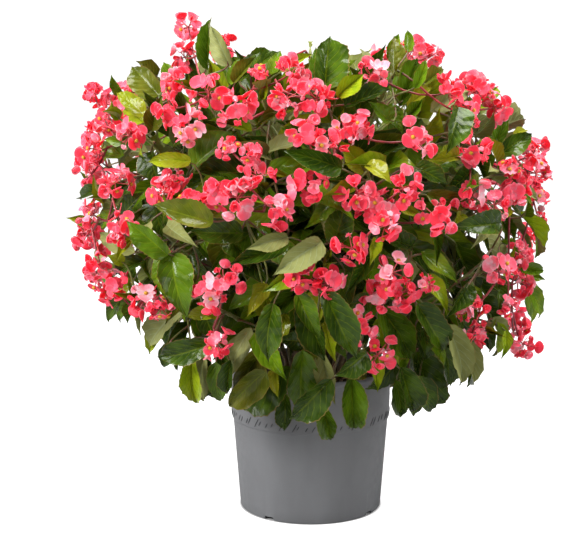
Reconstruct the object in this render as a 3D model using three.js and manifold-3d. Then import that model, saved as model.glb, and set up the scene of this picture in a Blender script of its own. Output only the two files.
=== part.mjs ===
// Potted begonia: arching canes with angel-wing leaves and coral flower heads, in a grey nursery pot.
// Millimetres, +Z up. The origin is the middle of the foot that the pot stands on, and -Y faces the viewer.

import * as THREE from "three";
import { mergeVertices } from "three/addons/utils/BufferGeometryUtils.js";
import Module from "manifold-3d";

// Pot
const POT_HEIGHT = 219;
const FOOT_R = 108;
const WAIST_R = 118.5;
const BAND_Z = 140;
const BAND_R = 120.5;
const RIM_R = 123;
const LIP_WIDTH = 4.5;
const LIP_DEPTH = 7;
const WALL = 2.4;
const FLOOR_Z = 7;
const FOOT_RING = 9;
const POT_SIDES = 36;
const NOTCHES = 4;
const NOTCH_START = -125.6;
const NOTCH_SIZE = [26, 17, 5];
const DRAIN_R = 7;
const DRAIN_RING_R = 62;

// Potting mix
const MIX_TOP = 196;
const MIX_CROWN = 5;
const GAP = 0.3;

// The eye that the picture positions below are seen from: millimetres, degrees and pixels
const EYE = new THREE.Vector3(-30, -2275, 748);
const EYE_PITCH = 9.8;
const FOCAL = 1525;
const MIDDLE = [291, 276.5];

// Crown: the round outline that the foliage fills
const CROWN_Z = 450;
const CROWN_R = 346;
const CROWN_UP = 270;
const CROWN_DOWN = 325;
const CROWN_LEAST_R = 139;

// Canes
const CANE_R = [4.2, 2.3];
const CANE_SIDES = 4;
const CANE_STEPS = 6;
const CANE_SUNK = 40;
const CANE_LAYER = 0.8;
const ROOT_R = 86;
const ROOT_SPACE = 25;
const CANE_SPACE = 13;
const SWINGS = [0, 14, -14, 28, -28, 42, -42, 56, -56, 70, -70, 84, -84, 98, -98];

// Leaves and flowers
const PIXEL = 1.5;
const BLADE = 0.9;
const WAVE = 0.035;
const PETIOLE = 2.6;
const STALK_R = 1.7;
const FLOWER_R = 12.5;
const FLOWER_PUFF = 4.2;
const FLOWER_TWIST = 0.7;
const HEAD_R = 22;
const HEAD_LAYERS = [0.985, 0.96, 0.935, 1.01, 0.91, 1.035, 0.885, 1.06, 1.085];
const LONGEST_SPRAY = 170;
const MOST_HEADS = 6;
const FAR_HEADS = 40;
const LEAF_LEAST = 14;
const LEAF_SLANT = 0.6;
const LEAST_TURN = 0.2;
const CROWDING = 9;
const LONGEST_PETIOLE = 130;
const FAR_LEAVES = 46;

// Where the tip of each cane of the near side shows, in pixels. The last of them carries no flowers.
const CANES = [
  [190, 92], [118, 118], [104, 200], [136, 292], [180, 200], [264, 190], [262, 96], [336, 136], [396, 70],
  [464, 112], [512, 184], [392, 202], [326, 264], [404, 284], [502, 266], [216, 310], [366, 350], [484, 330],
];
const BARE_CANES = 1;
// The tip of each cane of the far side and the top: its turn from +X about the axis, and its height.
const FAR_CANES = [
  [10, 560], [48, 420], [72, 610], [92, 300], [112, 500], [140, 640], [148, 380], [172, 520], [90, 705],
];

// Where each flower head shows: x, y and size in pixels.
const HEADS = [
  [187, 24, 12], [182, 55, 13], [173, 80, 12], [207, 90, 16], [167, 108, 13], [188, 128, 16],
  [92, 92, 9], [112, 100, 13], [112, 121, 14], [128, 134, 12], [96, 150, 16], [88, 175, 13],
  [114, 180, 14], [90, 213, 13], [84, 236, 13], [122, 228, 13], [98, 266, 14], [113, 288, 14],
  [143, 300, 15], [161, 309, 9], [162, 190, 12], [174, 178, 12], [185, 207, 15], [215, 194, 12],
  [237, 197, 15], [257, 173, 14], [251, 152, 8], [310, 186, 16], [281, 213, 12], [235, 108, 15],
  [228, 147, 8], [258, 71, 8], [293, 70, 13], [288, 97, 13], [319, 97, 13], [306, 130, 12],
  [328, 144, 13], [346, 131, 10], [362, 126, 11], [371, 73, 15], [415, 47, 16], [452, 92, 15],
  [471, 115, 14], [420, 138, 16], [480, 88, 13], [498, 105, 13], [475, 149, 13], [537, 152, 12],
  [539, 173, 14], [512, 167, 9], [472, 197, 12], [496, 205, 12], [516, 192, 14], [541, 221, 8],
  [358, 192, 14], [377, 205, 15], [388, 226, 12], [405, 186, 16], [438, 215, 16], [350, 250, 16],
  [299, 275, 13], [329, 284, 13], [392, 272, 13], [380, 292, 15], [404, 299, 12], [427, 283, 8],
  [500, 268, 16], [522, 281, 13], [523, 252, 10], [473, 311, 13], [474, 336, 14], [516, 333, 14],
  [510, 307, 9], [224, 278, 13], [208, 297, 14], [217, 345, 15], [358, 328, 14], [379, 355, 14],
];

// Where each large leaf shows: base x and y, tip x and y, and width, in pixels.
const LEAVES = [
  [208, 64, 208, 18, 22], [228, 62, 213, 23, 16], [156, 92, 133, 64, 28], [141, 113, 114, 94, 18],
  [153, 127, 160, 94, 24], [151, 101, 133, 84, 16], [198, 163, 240, 133, 26], [186, 161, 147, 159, 13],
  [193, 131, 174, 149, 16], [152, 138, 118, 172, 26], [219, 68, 235, 94, 20], [248, 111, 293, 85, 24],
  [242, 78, 282, 53, 22], [236, 80, 258, 57, 14], [284, 70, 313, 52, 15], [325, 84, 326, 35, 37],
  [340, 94, 363, 72, 22], [334, 87, 350, 110, 20], [302, 106, 256, 129, 20], [303, 137, 278, 129, 14],
  [335, 166, 282, 146, 24], [362, 167, 339, 137, 24], [364, 163, 401, 141, 19], [350, 104, 394, 91, 17],
  [387, 119, 367, 103, 16], [386, 111, 402, 136, 18], [394, 72, 391, 35, 20], [402, 101, 421, 58, 26],
  [393, 90, 380, 64, 17], [410, 104, 434, 89, 15], [457, 112, 444, 153, 26], [497, 161, 486, 136, 14],
  [503, 152, 531, 131, 22], [497, 141, 508, 110, 18], [456, 156, 430, 163, 15], [419, 169, 448, 187, 18],
  [369, 167, 391, 185, 16], [296, 173, 322, 161, 13], [293, 168, 275, 184, 17], [259, 193, 216, 175, 22],
  [163, 251, 127, 217, 23], [134, 227, 147, 205, 15], [124, 214, 146, 193, 17], [206, 221, 150, 208, 20],
  [266, 213, 203, 207, 17], [237, 233, 188, 234, 27], [230, 237, 251, 266, 19], [283, 238, 244, 247, 18],
  [316, 245, 270, 273, 26], [336, 237, 350, 193, 28], [408, 245, 370, 236, 19], [413, 250, 460, 290, 25],
  [495, 224, 449, 231, 23], [444, 195, 471, 215, 20], [522, 217, 541, 256, 22], [505, 223, 515, 244, 14],
  [519, 189, 539, 202, 14], [529, 285, 545, 317, 22], [383, 312, 417, 358, 34], [420, 310, 442, 356, 22],
  [367, 302, 340, 303, 24], [466, 288, 443, 317, 15], [491, 315, 504, 336, 14], [494, 320, 500, 346, 17],
  [450, 332, 466, 385, 30], [418, 359, 427, 415, 27], [401, 366, 384, 391, 27], [402, 373, 411, 417, 26],
  [396, 361, 367, 392, 27], [352, 383, 350, 432, 21], [321, 407, 335, 441, 19], [326, 384, 285, 418, 25],
  [302, 358, 296, 414, 22], [285, 398, 287, 433, 18], [283, 371, 231, 405, 36], [261, 351, 230, 393, 22],
  [272, 310, 264, 362, 27], [236, 299, 260, 350, 15], [303, 341, 275, 341, 22], [304, 309, 330, 363, 22],
  [300, 299, 318, 342, 13], [328, 300, 354, 364, 25], [306, 351, 327, 384, 25], [363, 355, 333, 375, 23],
  [363, 371, 346, 379, 16], [177, 311, 149, 352, 26], [176, 314, 169, 355, 14], [206, 345, 158, 361, 23],
  [192, 361, 194, 406, 21], [203, 361, 200, 402, 15], [210, 359, 217, 401, 18], [220, 352, 224, 378, 15],
  [216, 309, 187, 319, 17], [172, 261, 183, 321, 33], [131, 250, 100, 229, 16], [141, 262, 114, 277, 15],
  [127, 188, 113, 212, 16], [118, 306, 106, 315, 13], [470, 172, 441, 200, 28], [381, 214, 362, 236, 20],
];

// The top and the far side, beyond this y, are filled by rule between two heights.
const FAR_Y = -30;
const FAR_TOP = 705;
const FAR_LOW = 250;

// How far in or out from the crown's outline a leaf may lie, tried in this order.
const LAYERS = [
  1, 0.965, 1.03, 0.93, 0.895, 0.86, 1.055, 0.825, 0.79, 0.755, 1.08, 0.72, 0.68, 0.64, 0.6, 0.56,
];
// Room kept between the sample points of blades, of petioles and canes, and round the flower heads.
const BLADE_CLEAR = 9;
const STEM_CLEAR_OWN = 5;
const STEM_CLEAR = 8;
const HEAD_CLEAR = 3;

const wasm = await Module();
wasm.setup();

const degrees = THREE.MathUtils.degToRad;
const mix = (a, b, t) => new THREE.Vector3().lerpVectors(a, b, t);

// A seeded draw from 0 to 1 for an item and a purpose.
function draw(item, purpose) {
  const wave = Math.sin(item * 12.9898 + purpose * 78.233) * 43758.5453;
  return wave - Math.floor(wave);
}

// A closed geometry as a solid that can be joined and cut.
function solidOf(geometry) {
  geometry.deleteAttribute("normal");
  geometry.deleteAttribute("uv");
  const merged = mergeVertices(geometry, 1e-4);
  return new wasm.Manifold(
    new wasm.Mesh({
      numProp: 3,
      vertProperties: merged.attributes.position.array,
      triVerts: new Uint32Array(merged.index.array),
    }),
  );
}

// A finished solid as a named mesh.
function meshOf(name, solid, material) {
  const made = solid.getMesh();
  const geometry = new THREE.BufferGeometry();
  geometry.setAttribute("position", new THREE.BufferAttribute(made.vertProperties, 3));
  geometry.setIndex(new THREE.BufferAttribute(made.triVerts, 1));
  const mesh = new THREE.Mesh(geometry, material);
  mesh.name = name;
  return mesh;
}

// A body from corner points and the faces between them.
function solidFromFaces(points, faces) {
  const geometry = new THREE.BufferGeometry();
  geometry.setAttribute(
    "position",
    new THREE.Float32BufferAttribute(points.flatMap((p) => [p.x, p.y, p.z]), 3),
  );
  geometry.setIndex(faces);
  return solidOf(geometry);
}

// A body through rings of points that all have the same count, with flat ends.
function loft(rings) {
  const count = rings[0].length;
  const last = (rings.length - 1) * count;
  const faces = [];
  for (let i = 0; i < last; i += count) {
    for (let j = 0; j < count; j++) {
      const a = i + j;
      const b = i + ((j + 1) % count);
      faces.push(a, b, b + count, a, b + count, a + count);
    }
  }
  for (let j = 1; j + 1 < count; j++) {
    faces.push(0, j + 1, j, last, last + j, last + j + 1);
  }
  return solidFromFaces(rings.flat(), faces);
}

// A round bar along a list of points, thick at the start and thinner at the end.
function bar(points, startR, endR, sides) {
  const side = new THREE.Vector3(0.3, 0.2, 1).cross(points.at(-1).clone().sub(points[0])).normalize();
  const rings = points.map((p, i) => {
    const ahead = points[Math.min(i + 1, points.length - 1)];
    const behind = points[Math.max(i - 1, 0)];
    const along = ahead.clone().sub(behind).normalize();
    const across = side.clone().addScaledVector(along, -side.dot(along)).normalize();
    const other = along.clone().cross(across);
    const r = THREE.MathUtils.lerp(startR, endR, i / (points.length - 1));
    return Array.from({ length: sides }, (_, j) => {
      const turn = (2 * Math.PI * j) / sides;
      return p.clone()
        .addScaledVector(across, r * Math.cos(turn))
        .addScaledVector(other, r * Math.sin(turn));
    });
  });
  return loft(rings);
}

// The crown's radius at a height: a rounded dome above its widest height and a longer oval below.
function crownRadius(z) {
  const [reach, power] = z > CROWN_Z ? [CROWN_UP, 2.6] : [CROWN_DOWN, 2];
  const k = Math.min(Math.abs(z - CROWN_Z) / reach, 1);
  const r = CROWN_R * Math.pow(1 - Math.pow(k, power), 1 / power);
  return z < CROWN_Z ? Math.max(r, CROWN_LEAST_R) : r;
}

// The point at a depth, a value of y, on the line of sight through a picture position.
function sightAt(x, y, level) {
  const pitch = degrees(EYE_PITCH);
  const up = (MIDDLE[1] - y) / FOCAL;
  const sight = new THREE.Vector3(
    (x - MIDDLE[0]) / FOCAL,
    Math.cos(pitch) + up * Math.sin(pitch),
    up * Math.cos(pitch) - Math.sin(pitch),
  );
  return EYE.clone().addScaledVector(sight, (level - EYE.y) / sight.y);
}

// Where a line of sight meets the crown, grown or shrunk to a layer. Past the crown's outline it is a point
// a little before the axis.
function onCrown(x, y, layer, depth = 0) {
  const step = 2;
  for (let level = -CROWN_R * 1.15; level < -25; level += step) {
    const p = sightAt(x, y, level);
    const z = CROWN_Z + (p.z - CROWN_Z) / layer;
    if (Math.hypot(p.x, p.y) < crownRadius(z) * layer) return p;
  }
  return sightAt(x, y, -25 - 60 * depth + 250 * (1 - layer));
}

// The point of the crown at a turn from +X and a height.
function crownPoint(turn, z, layer) {
  const r = crownRadius(z) * layer;
  return new THREE.Vector3(r * Math.cos(degrees(turn)), r * Math.sin(degrees(turn)), z);
}

// Spots spread evenly over the crown's top and its far side, from the top down.
function farSpots(count, from, low) {
  const spots = [];
  for (let i = 0; i < count; i++) {
    const item = from + i;
    const turn = (137.508 * item) % 360;
    const z = THREE.MathUtils.lerp(FAR_TOP, low, (i + 0.5) / count);
    if (crownPoint(turn, z, 1).y > FAR_Y) spots.push({ turn, z, item });
  }
  return spots;
}

// Where the canes leave the mix: nearer to the wall for low tips, and spread until none stand close.
function caneRoots(tips) {
  const roots = tips.map((tip) => {
    const r = THREE.MathUtils.clamp(THREE.MathUtils.mapLinear(tip.z, 660, 260, 12, ROOT_R), 12, ROOT_R);
    const flat = Math.hypot(tip.x, tip.y);
    return new THREE.Vector2((tip.x * r) / flat, (tip.y * r) / flat);
  });
  for (let round = 0; round < 80; round++) {
    for (let i = 0; i < roots.length; i++) {
      for (let j = 0; j < i; j++) {
        const apart = roots[i].clone().sub(roots[j]);
        const short = ROOT_SPACE - apart.length();
        if (short <= 0) continue;
        apart.setLength(short / 2);
        roots[i].add(apart);
        roots[j].sub(apart);
      }
    }
    roots.forEach((root) => root.clampLength(0, ROOT_R));
  }
  return roots;
}

// The corners of a cane's middle line: up out of the mix, over the rim and out to its tip, swung aside.
function caneJoints(root, tip, swing) {
  const flat = Math.hypot(tip.x, tip.y);
  const aside = new THREE.Vector3(-tip.y / flat, tip.x / flat, 0).multiplyScalar(swing);
  const droop = Math.max(0, 330 - tip.z);
  const start = new THREE.Vector3(root.x, root.y, MIX_TOP - CANE_SUNK);
  const first = new THREE.Vector3(
    root.x * 1.1, root.y * 1.1, MIX_TOP + 0.3 * (tip.z - MIX_TOP) + droop * 0.85,
  ).addScaledVector(aside, 0.6);
  const second = new THREE.Vector3(tip.x * 0.66, tip.y * 0.66, tip.z * 0.86 + 24 + droop * 0.95).add(aside);
  return new THREE.CubicBezierCurve3(start, first, second, tip).getPoints(CANE_STEPS);
}

// The tip of a cane, a little inside the crown.
const caneTip = (x, y) => sightAt(x, y, onCrown(x, y, 1).y * CANE_LAYER);

// All canes, near and far. Each is swung aside as far as it needs to pass clear of those before it.
function growCanes() {
  const near = CANES.map(([x, y], i) => ({
    tip: caneTip(x, y),
    blooms: i < CANES.length - BARE_CANES,
  }));
  const far = FAR_CANES.map(([turn, z]) => ({ tip: crownPoint(turn, z, CANE_LAYER), blooms: true }));
  const canes = [...near, ...far];
  const roots = caneRoots(canes.map((cane) => cane.tip));
  canes.forEach((cane, i) => {
    let widest = -1;
    for (const swing of SWINGS) {
      const joints = caneJoints(roots[i], cane.tip, swing);
      const points = along(joints);
      const others = canes.slice(0, i).flatMap((other) => other.points);
      const gaps = others.map((q) => Math.min(...points.map((p) => p.distanceTo(q))));
      const room = Math.min(Infinity, ...gaps);
      if (room > widest) Object.assign(cane, { joints, points });
      widest = Math.max(widest, room);
      if (room > CANE_SPACE) break;
    }
    Object.assign(cane, { heads: [], leaves: [], branches: [] });
  });
  return canes;
}

// The index of the cane whose outer part comes nearest to a point. One with many leaves counts as farther.
function nearestCane(canes, p) {
  const away = canes.map((cane) => {
    const outer = cane.points.slice(Math.round(cane.points.length * 0.62));
    return Math.min(...outer.map((q) => q.distanceTo(p))) + CROWDING * cane.leaves.length;
  });
  return away.indexOf(Math.min(...away));
}

// Room already taken, kept as points in a grid of cells so that near ones are found fast.
class Room {
  constructor() {
    this.cells = new Map();
    this.heads = [];
  }
  key(p) {
    return [p.x, p.y, p.z].map((c) => Math.floor(c / 12)).join();
  }
  add(points, owner, kind) {
    for (const p of points) {
      const key = this.key(p);
      if (!this.cells.has(key)) this.cells.set(key, []);
      this.cells.get(key).push({ p, owner, kind });
    }
  }
  // Whether any point comes too near to what another owner has placed.
  blocked(points, owner, kind) {
    const offsets = [-12, 0, 12];
    return points.some((p) => {
      if (this.heads.some((h) => h.owner !== owner && h.p.distanceTo(p) < h.r + HEAD_CLEAR)) return true;
      for (const dx of offsets) {
        for (const dy of offsets) {
          for (const dz of offsets) {
            const cell = this.cells.get(this.key(new THREE.Vector3(p.x + dx, p.y + dy, p.z + dz)));
            if (cell && cell.some((q) => q.p.distanceTo(p) < this.clearance(q, owner, kind))) return true;
          }
        }
      }
      return false;
    });
  }
  // Whether a ball is too near to a stalk or to a head of another owner, or over one of the given points.
  near(centre, r, owner, points) {
    const stalks = [...this.cells.values()].flat();
    return (
      stalks.some((q) => q.owner !== owner && q.p.distanceTo(centre) < r + 2) ||
      this.heads.some((h) => h.p.distanceTo(centre) < (h.owner === owner ? 0.8 : 1) * (h.r + r)) ||
      points.some((q) => q.distanceTo(centre) < 5)
    );
  }
  clearance(other, owner, kind) {
    if (other.kind === "blade" && kind === "blade") return BLADE_CLEAR;
    if (other.owner !== owner) return STEM_CLEAR;
    return other.kind === kind ? 0 : STEM_CLEAR_OWN;
  }
}

// Points along straight stretches, one every 5 mm, leaving out the first stretch of a given length.
function along(points, skip = 0) {
  const found = [];
  for (let i = 0; i + 1 < points.length; i++) {
    const length = points[i].distanceTo(points[i + 1]);
    const start = i === 0 ? skip : 0;
    for (let d = start; d < length; d += 5) found.push(mix(points[i], points[i + 1], d / length));
  }
  found.push(points.at(-1));
  return found;
}

// The stalks and heads of each cane's spray. A head goes to the nearest place where a spray can branch.
function placeHeads(canes, room) {
  canes.forEach((cane, i) => {
    if (!cane.blooms) return;
    cane.socket = cane.points[Math.round(cane.points.length * 0.93)];
    const ahead = cane.joints.at(-1).clone().sub(cane.joints.at(-2)).normalize();
    const outward = cane.tip.clone().sub(new THREE.Vector3(0, 0, CROWN_Z - 60)).normalize();
    const sideways = outward.addScaledVector(ahead, -outward.dot(ahead)).normalize();
    cane.fork = cane.socket.clone().addScaledVector(sideways, 24).addScaledVector(ahead, 8);
    cane.branches = [cane.fork];
    room.add(along([cane.socket, cane.fork]), "spray" + i, "stalk");
  });
  const near = HEADS.map(([x, y, size], item) => ({
    size,
    item,
    at: (layer) => onCrown(x, y, layer, draw(item, 1)),
  }));
  const far = farSpots(FAR_HEADS, 200, FAR_LOW + 60).map(({ turn, z, item }) => ({
    size: 14,
    item,
    at: (layer) => crownPoint(turn, z, layer),
  }));
  for (const head of [...near, ...far]) placeHead(canes, room, head);
}

function placeHead(canes, room, head) {
  const r = Math.min(HEAD_R, head.size * PIXEL * 1.1);
  for (const layer of HEAD_LAYERS) {
    const p = head.at(layer);
    const choices = canes
      .filter((cane) => cane.blooms && cane.heads.length < MOST_HEADS)
      .flatMap((cane) => {
        const all = cane.fork.distanceTo(p);
        return cane.branches.map((from) => ({ cane, from, away: from.distanceTo(p), all }));
      })
      .filter(({ away, all }) => away > 6 && all < LONGEST_SPRAY)
      .sort((a, b) => a.away + a.all - b.away - b.all)
      .slice(0, 8);
    for (const { cane, from } of choices) {
      const owner = canes.indexOf(cane);
      const name = "spray" + owner;
      const outward = p.clone().sub(new THREE.Vector3(0, 0, CROWN_Z - 120)).normalize();
      const ahead = p.clone().sub(from).normalize();
      const axis = outward.multiplyScalar(0.75).addScaledVector(ahead, 0.7).normalize();
      const hub = p.clone().addScaledVector(axis, -0.25 * r);
      const stalk = along([from, hub]);
      if (room.near(p, r, name, cane.branches)) continue;
      if (room.blocked(stalk, name, "stalk")) continue;
      room.heads.push({ p, r, owner: name });
      room.add(stalk, name, "stalk");
      cane.heads.push({ item: head.item, from, hub, axis, r });
      cane.branches.push(mix(from, hub, 0.6));
      return;
    }
  }
}

// The frame of a leaf: its base and tip, its own axes, and its size.
function leafFrame(base, tip, width, item) {
  const outward = mix(base, tip, 0.5).sub(new THREE.Vector3(0, 0, CROWN_Z - 120)).normalize();
  const facing = outward.clone().multiplyScalar(0.55);
  facing.addScaledVector(base.y < FAR_Y ? new THREE.Vector3(0, -1, 0.15) : outward, 0.6);
  facing.x += 0.5 * (draw(item, 2) - 0.5);
  facing.z += 0.5 * (draw(item, 3) - 0.5);
  const ahead = tip.clone().sub(base);
  const length = ahead.length();
  ahead.divideScalar(length);
  const side = facing.cross(ahead).normalize();
  const up = ahead.clone().cross(side);
  const half = Math.max(width / 2, length * 0.23);
  const hand = draw(item, 4) < 0.5 ? -1 : 1;
  const fold = 0.2 + 0.35 * draw(item, 6);
  const arch = 0.05 + 0.07 * draw(item, 7);
  return { base, ahead, side, up, length, half, hand, fold, arch };
}

// A point of a blade: s runs from base to tip and t from the left edge, -1, to the right edge, 1.
// One half is wider than the other, the base is drawn back into lobes, the halves fold up from the rib, and
// the edges wave up and down.
function bladePoint(leaf, s, t) {
  const outline = Math.pow(Math.sin(Math.PI * Math.pow(s, 0.62)), 0.8);
  const half = leaf.half * outline * (1 + 0.16 * leaf.hand * Math.sign(t));
  const lobe = 0.13 * Math.abs(t) * Math.max(0, 1 - s / 0.5);
  const arch = leaf.arch * 4 * s * (1 - s);
  const wave = WAVE * t * t * Math.sin(Math.PI * 3.4 * s + leaf.hand * t * 1.2) * outline;
  return leaf.base
    .clone()
    .addScaledVector(leaf.ahead, leaf.length * (s - lobe))
    .addScaledVector(leaf.side, t * half * Math.cos(leaf.fold))
    .addScaledVector(leaf.up, leaf.length * (arch + wave) + Math.abs(t) * half * Math.sin(leaf.fold));
}

// Points spread over a blade, to test its clearance.
function bladeSamples(leaf) {
  const found = [];
  for (const s of [0.02, 0.15, 0.27, 0.39, 0.51, 0.63, 0.75, 0.88, 1]) {
    for (const t of [-1, -0.5, 0, 0.5, 1]) found.push(bladePoint(leaf, s, t));
  }
  return found;
}

// Whether a point lies in the pot, or nearer to it than a blade may.
const inPot = (p) => p.z < POT_HEIGHT + 7 && Math.hypot(p.x, p.y) < RIM_R + 5;

// A leaf of the near side lies where it shows, as deep as its layer.
function nearLeaf([bx, by, tx, ty, width], item, layer) {
  const depth = draw(item, 1);
  const reach = Math.hypot(tx - bx, ty - by) * PIXEL * LEAF_SLANT;
  const base = onCrown(bx, by, layer - 0.06, depth);
  const level = THREE.MathUtils.clamp(onCrown(tx, ty, layer, depth).y, base.y - reach, base.y + reach);
  return leafFrame(base, sightAt(tx, ty, level), width * PIXEL, item);
}

// A leaf of the far side reaches the crown with its tip. It grows outward at the top and hangs lower down.
function farLeaf({ turn, z, item }, layer) {
  const tip = crownPoint(turn, z, layer);
  const outward = tip.clone().sub(new THREE.Vector3(0, 0, CROWN_Z - 120)).normalize();
  const sideways = new THREE.Vector3(-outward.y, outward.x, 0).multiplyScalar(2.4 * (draw(item, 10) - 0.5));
  const hang = THREE.MathUtils.mapLinear(z, FAR_TOP, FAR_LOW, -0.2, 1.1);
  const ahead = outward.multiplyScalar(0.45).add(sideways).add(new THREE.Vector3(0, 0, -hang)).normalize();
  const length = 76 + 24 * draw(item, 11);
  return leafFrame(tip.clone().addScaledVector(ahead, -length), tip, length * 0.44, item);
}

// Each large leaf goes to the nearest cane, in the first layer where its blade and petiole are clear.
function placeLeaves(canes, room) {
  const large = LEAVES.filter((leaf) => leaf[4] >= LEAF_LEAST);
  const near = large.map((leaf, item) => (layer) => nearLeaf(leaf, item, layer));
  const far = farSpots(FAR_LEAVES, 400, FAR_LOW).map((spot) => (layer) => farLeaf(spot, layer));
  for (const grow of [...near, ...far]) placeLeaf(canes, room, grow);
}

function placeLeaf(canes, room, grow) {
  for (const layer of LAYERS) {
    const frame = grow(layer);
    const samples = bladeSamples(frame);
    const owner = nearestCane(canes, frame.base);
    if (samples.some(inPot) || room.blocked(samples, owner, "blade")) continue;
    const cane = canes[owner];
    const outer = cane.points.slice(Math.round(cane.points.length * 0.3));
    const starts = [...outer, ...cane.leaves.map((leaf) => leaf.twig)]
      .map((from) => ({ from, away: from.distanceTo(frame.base) }))
      .filter(({ away }) => away > 9)
      .sort((a, b) => a.away - b.away);
    const behind = starts.filter(({ from, away }) =>
      frame.base.clone().sub(from).dot(frame.ahead) > LEAST_TURN * away && away < LONGEST_PETIOLE);
    for (const { from } of behind.filter((_, i) => i % 2 === 0).slice(0, 10)) {
      const petiole = along([from, frame.base], 7);
      if (room.blocked(petiole, owner, "stalk") || petiole.some(inPot)) continue;
      room.add(samples, owner, "blade");
      room.add(petiole, owner, "stalk");
      cane.leaves.push({ frame, petiole: [from, frame.base], twig: mix(from, frame.base, 0.35) });
      return;
    }
  }
}

// A leaf as one thin body: a three-sided petiole from the cane, then a blade folded along its rib.
function leafSolid({ frame, petiole }) {
  const lift = frame.up.clone().multiplyScalar(BLADE / 2);
  const pair = (p) => [p.clone().add(lift), p.clone().sub(lift)];
  const ahead = petiole[1].clone().sub(petiole[0]).normalize();
  const side = frame.side.clone().addScaledVector(ahead, -frame.side.dot(ahead)).normalize();
  const end = (p, across, up, thick) => {
    const left = p.clone().addScaledVector(across, -PETIOLE / 2).addScaledVector(up, thick / 2);
    const right = left.clone().addScaledVector(across, PETIOLE);
    return [left, right, p.clone().addScaledVector(up, -thick / 2)];
  };
  const points = [
    ...end(petiole[0], side, ahead.clone().cross(side), PETIOLE),
    ...end(frame.base, frame.side, frame.up, BLADE),
  ];
  for (const s of [0.27, 0.66]) {
    for (const t of [-1, 0, 1]) points.push(...pair(bladePoint(frame, s, t)));
  }
  points.push(...pair(bladePoint(frame, 1, 0)));
  // Corners 0 to 2 and 3 to 5 are the petiole's ends: upper left, upper right, below. Then come upper and
  // lower corners of the left edge, rib and right edge at two places, 6 to 11 and 12 to 17, and of the tip.
  const faces = [
    0, 1, 2, 0, 3, 1, 1, 3, 4, 1, 4, 2, 2, 4, 5, 2, 5, 0, 0, 5, 3,
    3, 6, 8, 3, 8, 4, 4, 8, 10, 5, 9, 7, 5, 11, 9, 3, 5, 7, 3, 7, 6, 4, 10, 11, 4, 11, 5,
    6, 12, 14, 6, 14, 8, 8, 14, 16, 8, 16, 10, 7, 15, 13, 7, 9, 15, 9, 17, 15, 9, 11, 17,
    6, 7, 13, 6, 13, 12, 10, 16, 17, 10, 17, 11,
    12, 18, 14, 14, 18, 16, 13, 15, 19, 15, 17, 19, 12, 13, 19, 12, 19, 18, 16, 18, 19, 16, 19, 17,
  ];
  return solidFromFaces(points, faces);
}

// A head of flowers at the end of its stalk. The stalk has three sides and ends in a point, and from each of
// the three faces of that point grows a flower of two round petals, notched where they meet.
function headSolid({ from, hub, axis, r: size, item }) {
  const start = new THREE.Vector3(0.3, 0.2, 1).cross(axis).normalize();
  const spin = draw(item, 8) * 2;
  const round = (centre, turn, r) =>
    centre.clone().addScaledVector(start.clone().applyAxisAngle(axis, spin + (turn * Math.PI * 2) / 3), r);
  const points = [0, 1, 2].map((i) => round(from, i, STALK_R));
  points.push(...[0, 1, 2].map((i) => round(hub, i, STALK_R + 0.6)));
  points.push(hub.clone().addScaledVector(axis, 3));
  const faces = [0, 2, 1, 0, 1, 4, 0, 4, 3, 1, 2, 5, 1, 5, 4, 2, 0, 3, 2, 3, 5];
  const r = Math.min(FLOWER_R, size * 0.55);
  for (let i = 0; i < 3; i++) {
    const side = round(new THREE.Vector3(), i + 0.5, 1);
    const away = side.clone().multiplyScalar(0.86).addScaledVector(axis, 0.5).normalize();
    const twist = (draw(item, 9 + i) - 0.5) * FLOWER_TWIST;
    const across = axis.clone().cross(side).applyAxisAngle(away, twist);
    const face = away.clone().cross(across);
    const middle = hub.clone().addScaledVector(away, r + 1);
    const at = (angle, reach, raised) =>
      middle.clone().addScaledVector(away, r * reach * Math.cos(angle))
        .addScaledVector(across, r * reach * Math.sin(angle)).addScaledVector(face, raised);
    const first = points.length;
    points.push(at(-1.8, 0.95, 0), at(-0.72, 1.08, 1.5), at(0, 0.72, -1));
    points.push(at(0.72, 1.08, 1.5), at(1.8, 0.95, 0));
    points.push(at(0, 0.1, FLOWER_PUFF), at(0, 0.1, -FLOWER_PUFF));
    const [a, b, c] = [3 + i, 3 + ((i + 1) % 3), 6];
    const [l, m, n, o, p, front, back] = [0, 1, 2, 3, 4, 5, 6].map((k) => first + k);
    faces.push(
      a, b, back, b, p, back, b, c, p, c, front, p, c, l, front, c, a, l, a, back, l,
      front, l, m, front, m, n, front, n, o, front, o, p,
      back, m, l, back, n, m, back, o, n, back, p, o,
    );
  }
  return solidFromFaces(points, faces);
}

function fuse(solids) {
  return solids.reduce((whole, piece) => whole.add(piece));
}

// The cane as a body, at its own size or swollen by a gap to cut its neighbours back.
function caneSolid(cane, swell) {
  return bar(cane.joints, CANE_R[0] + swell, CANE_R[1] + swell, CANE_SIDES);
}

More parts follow.
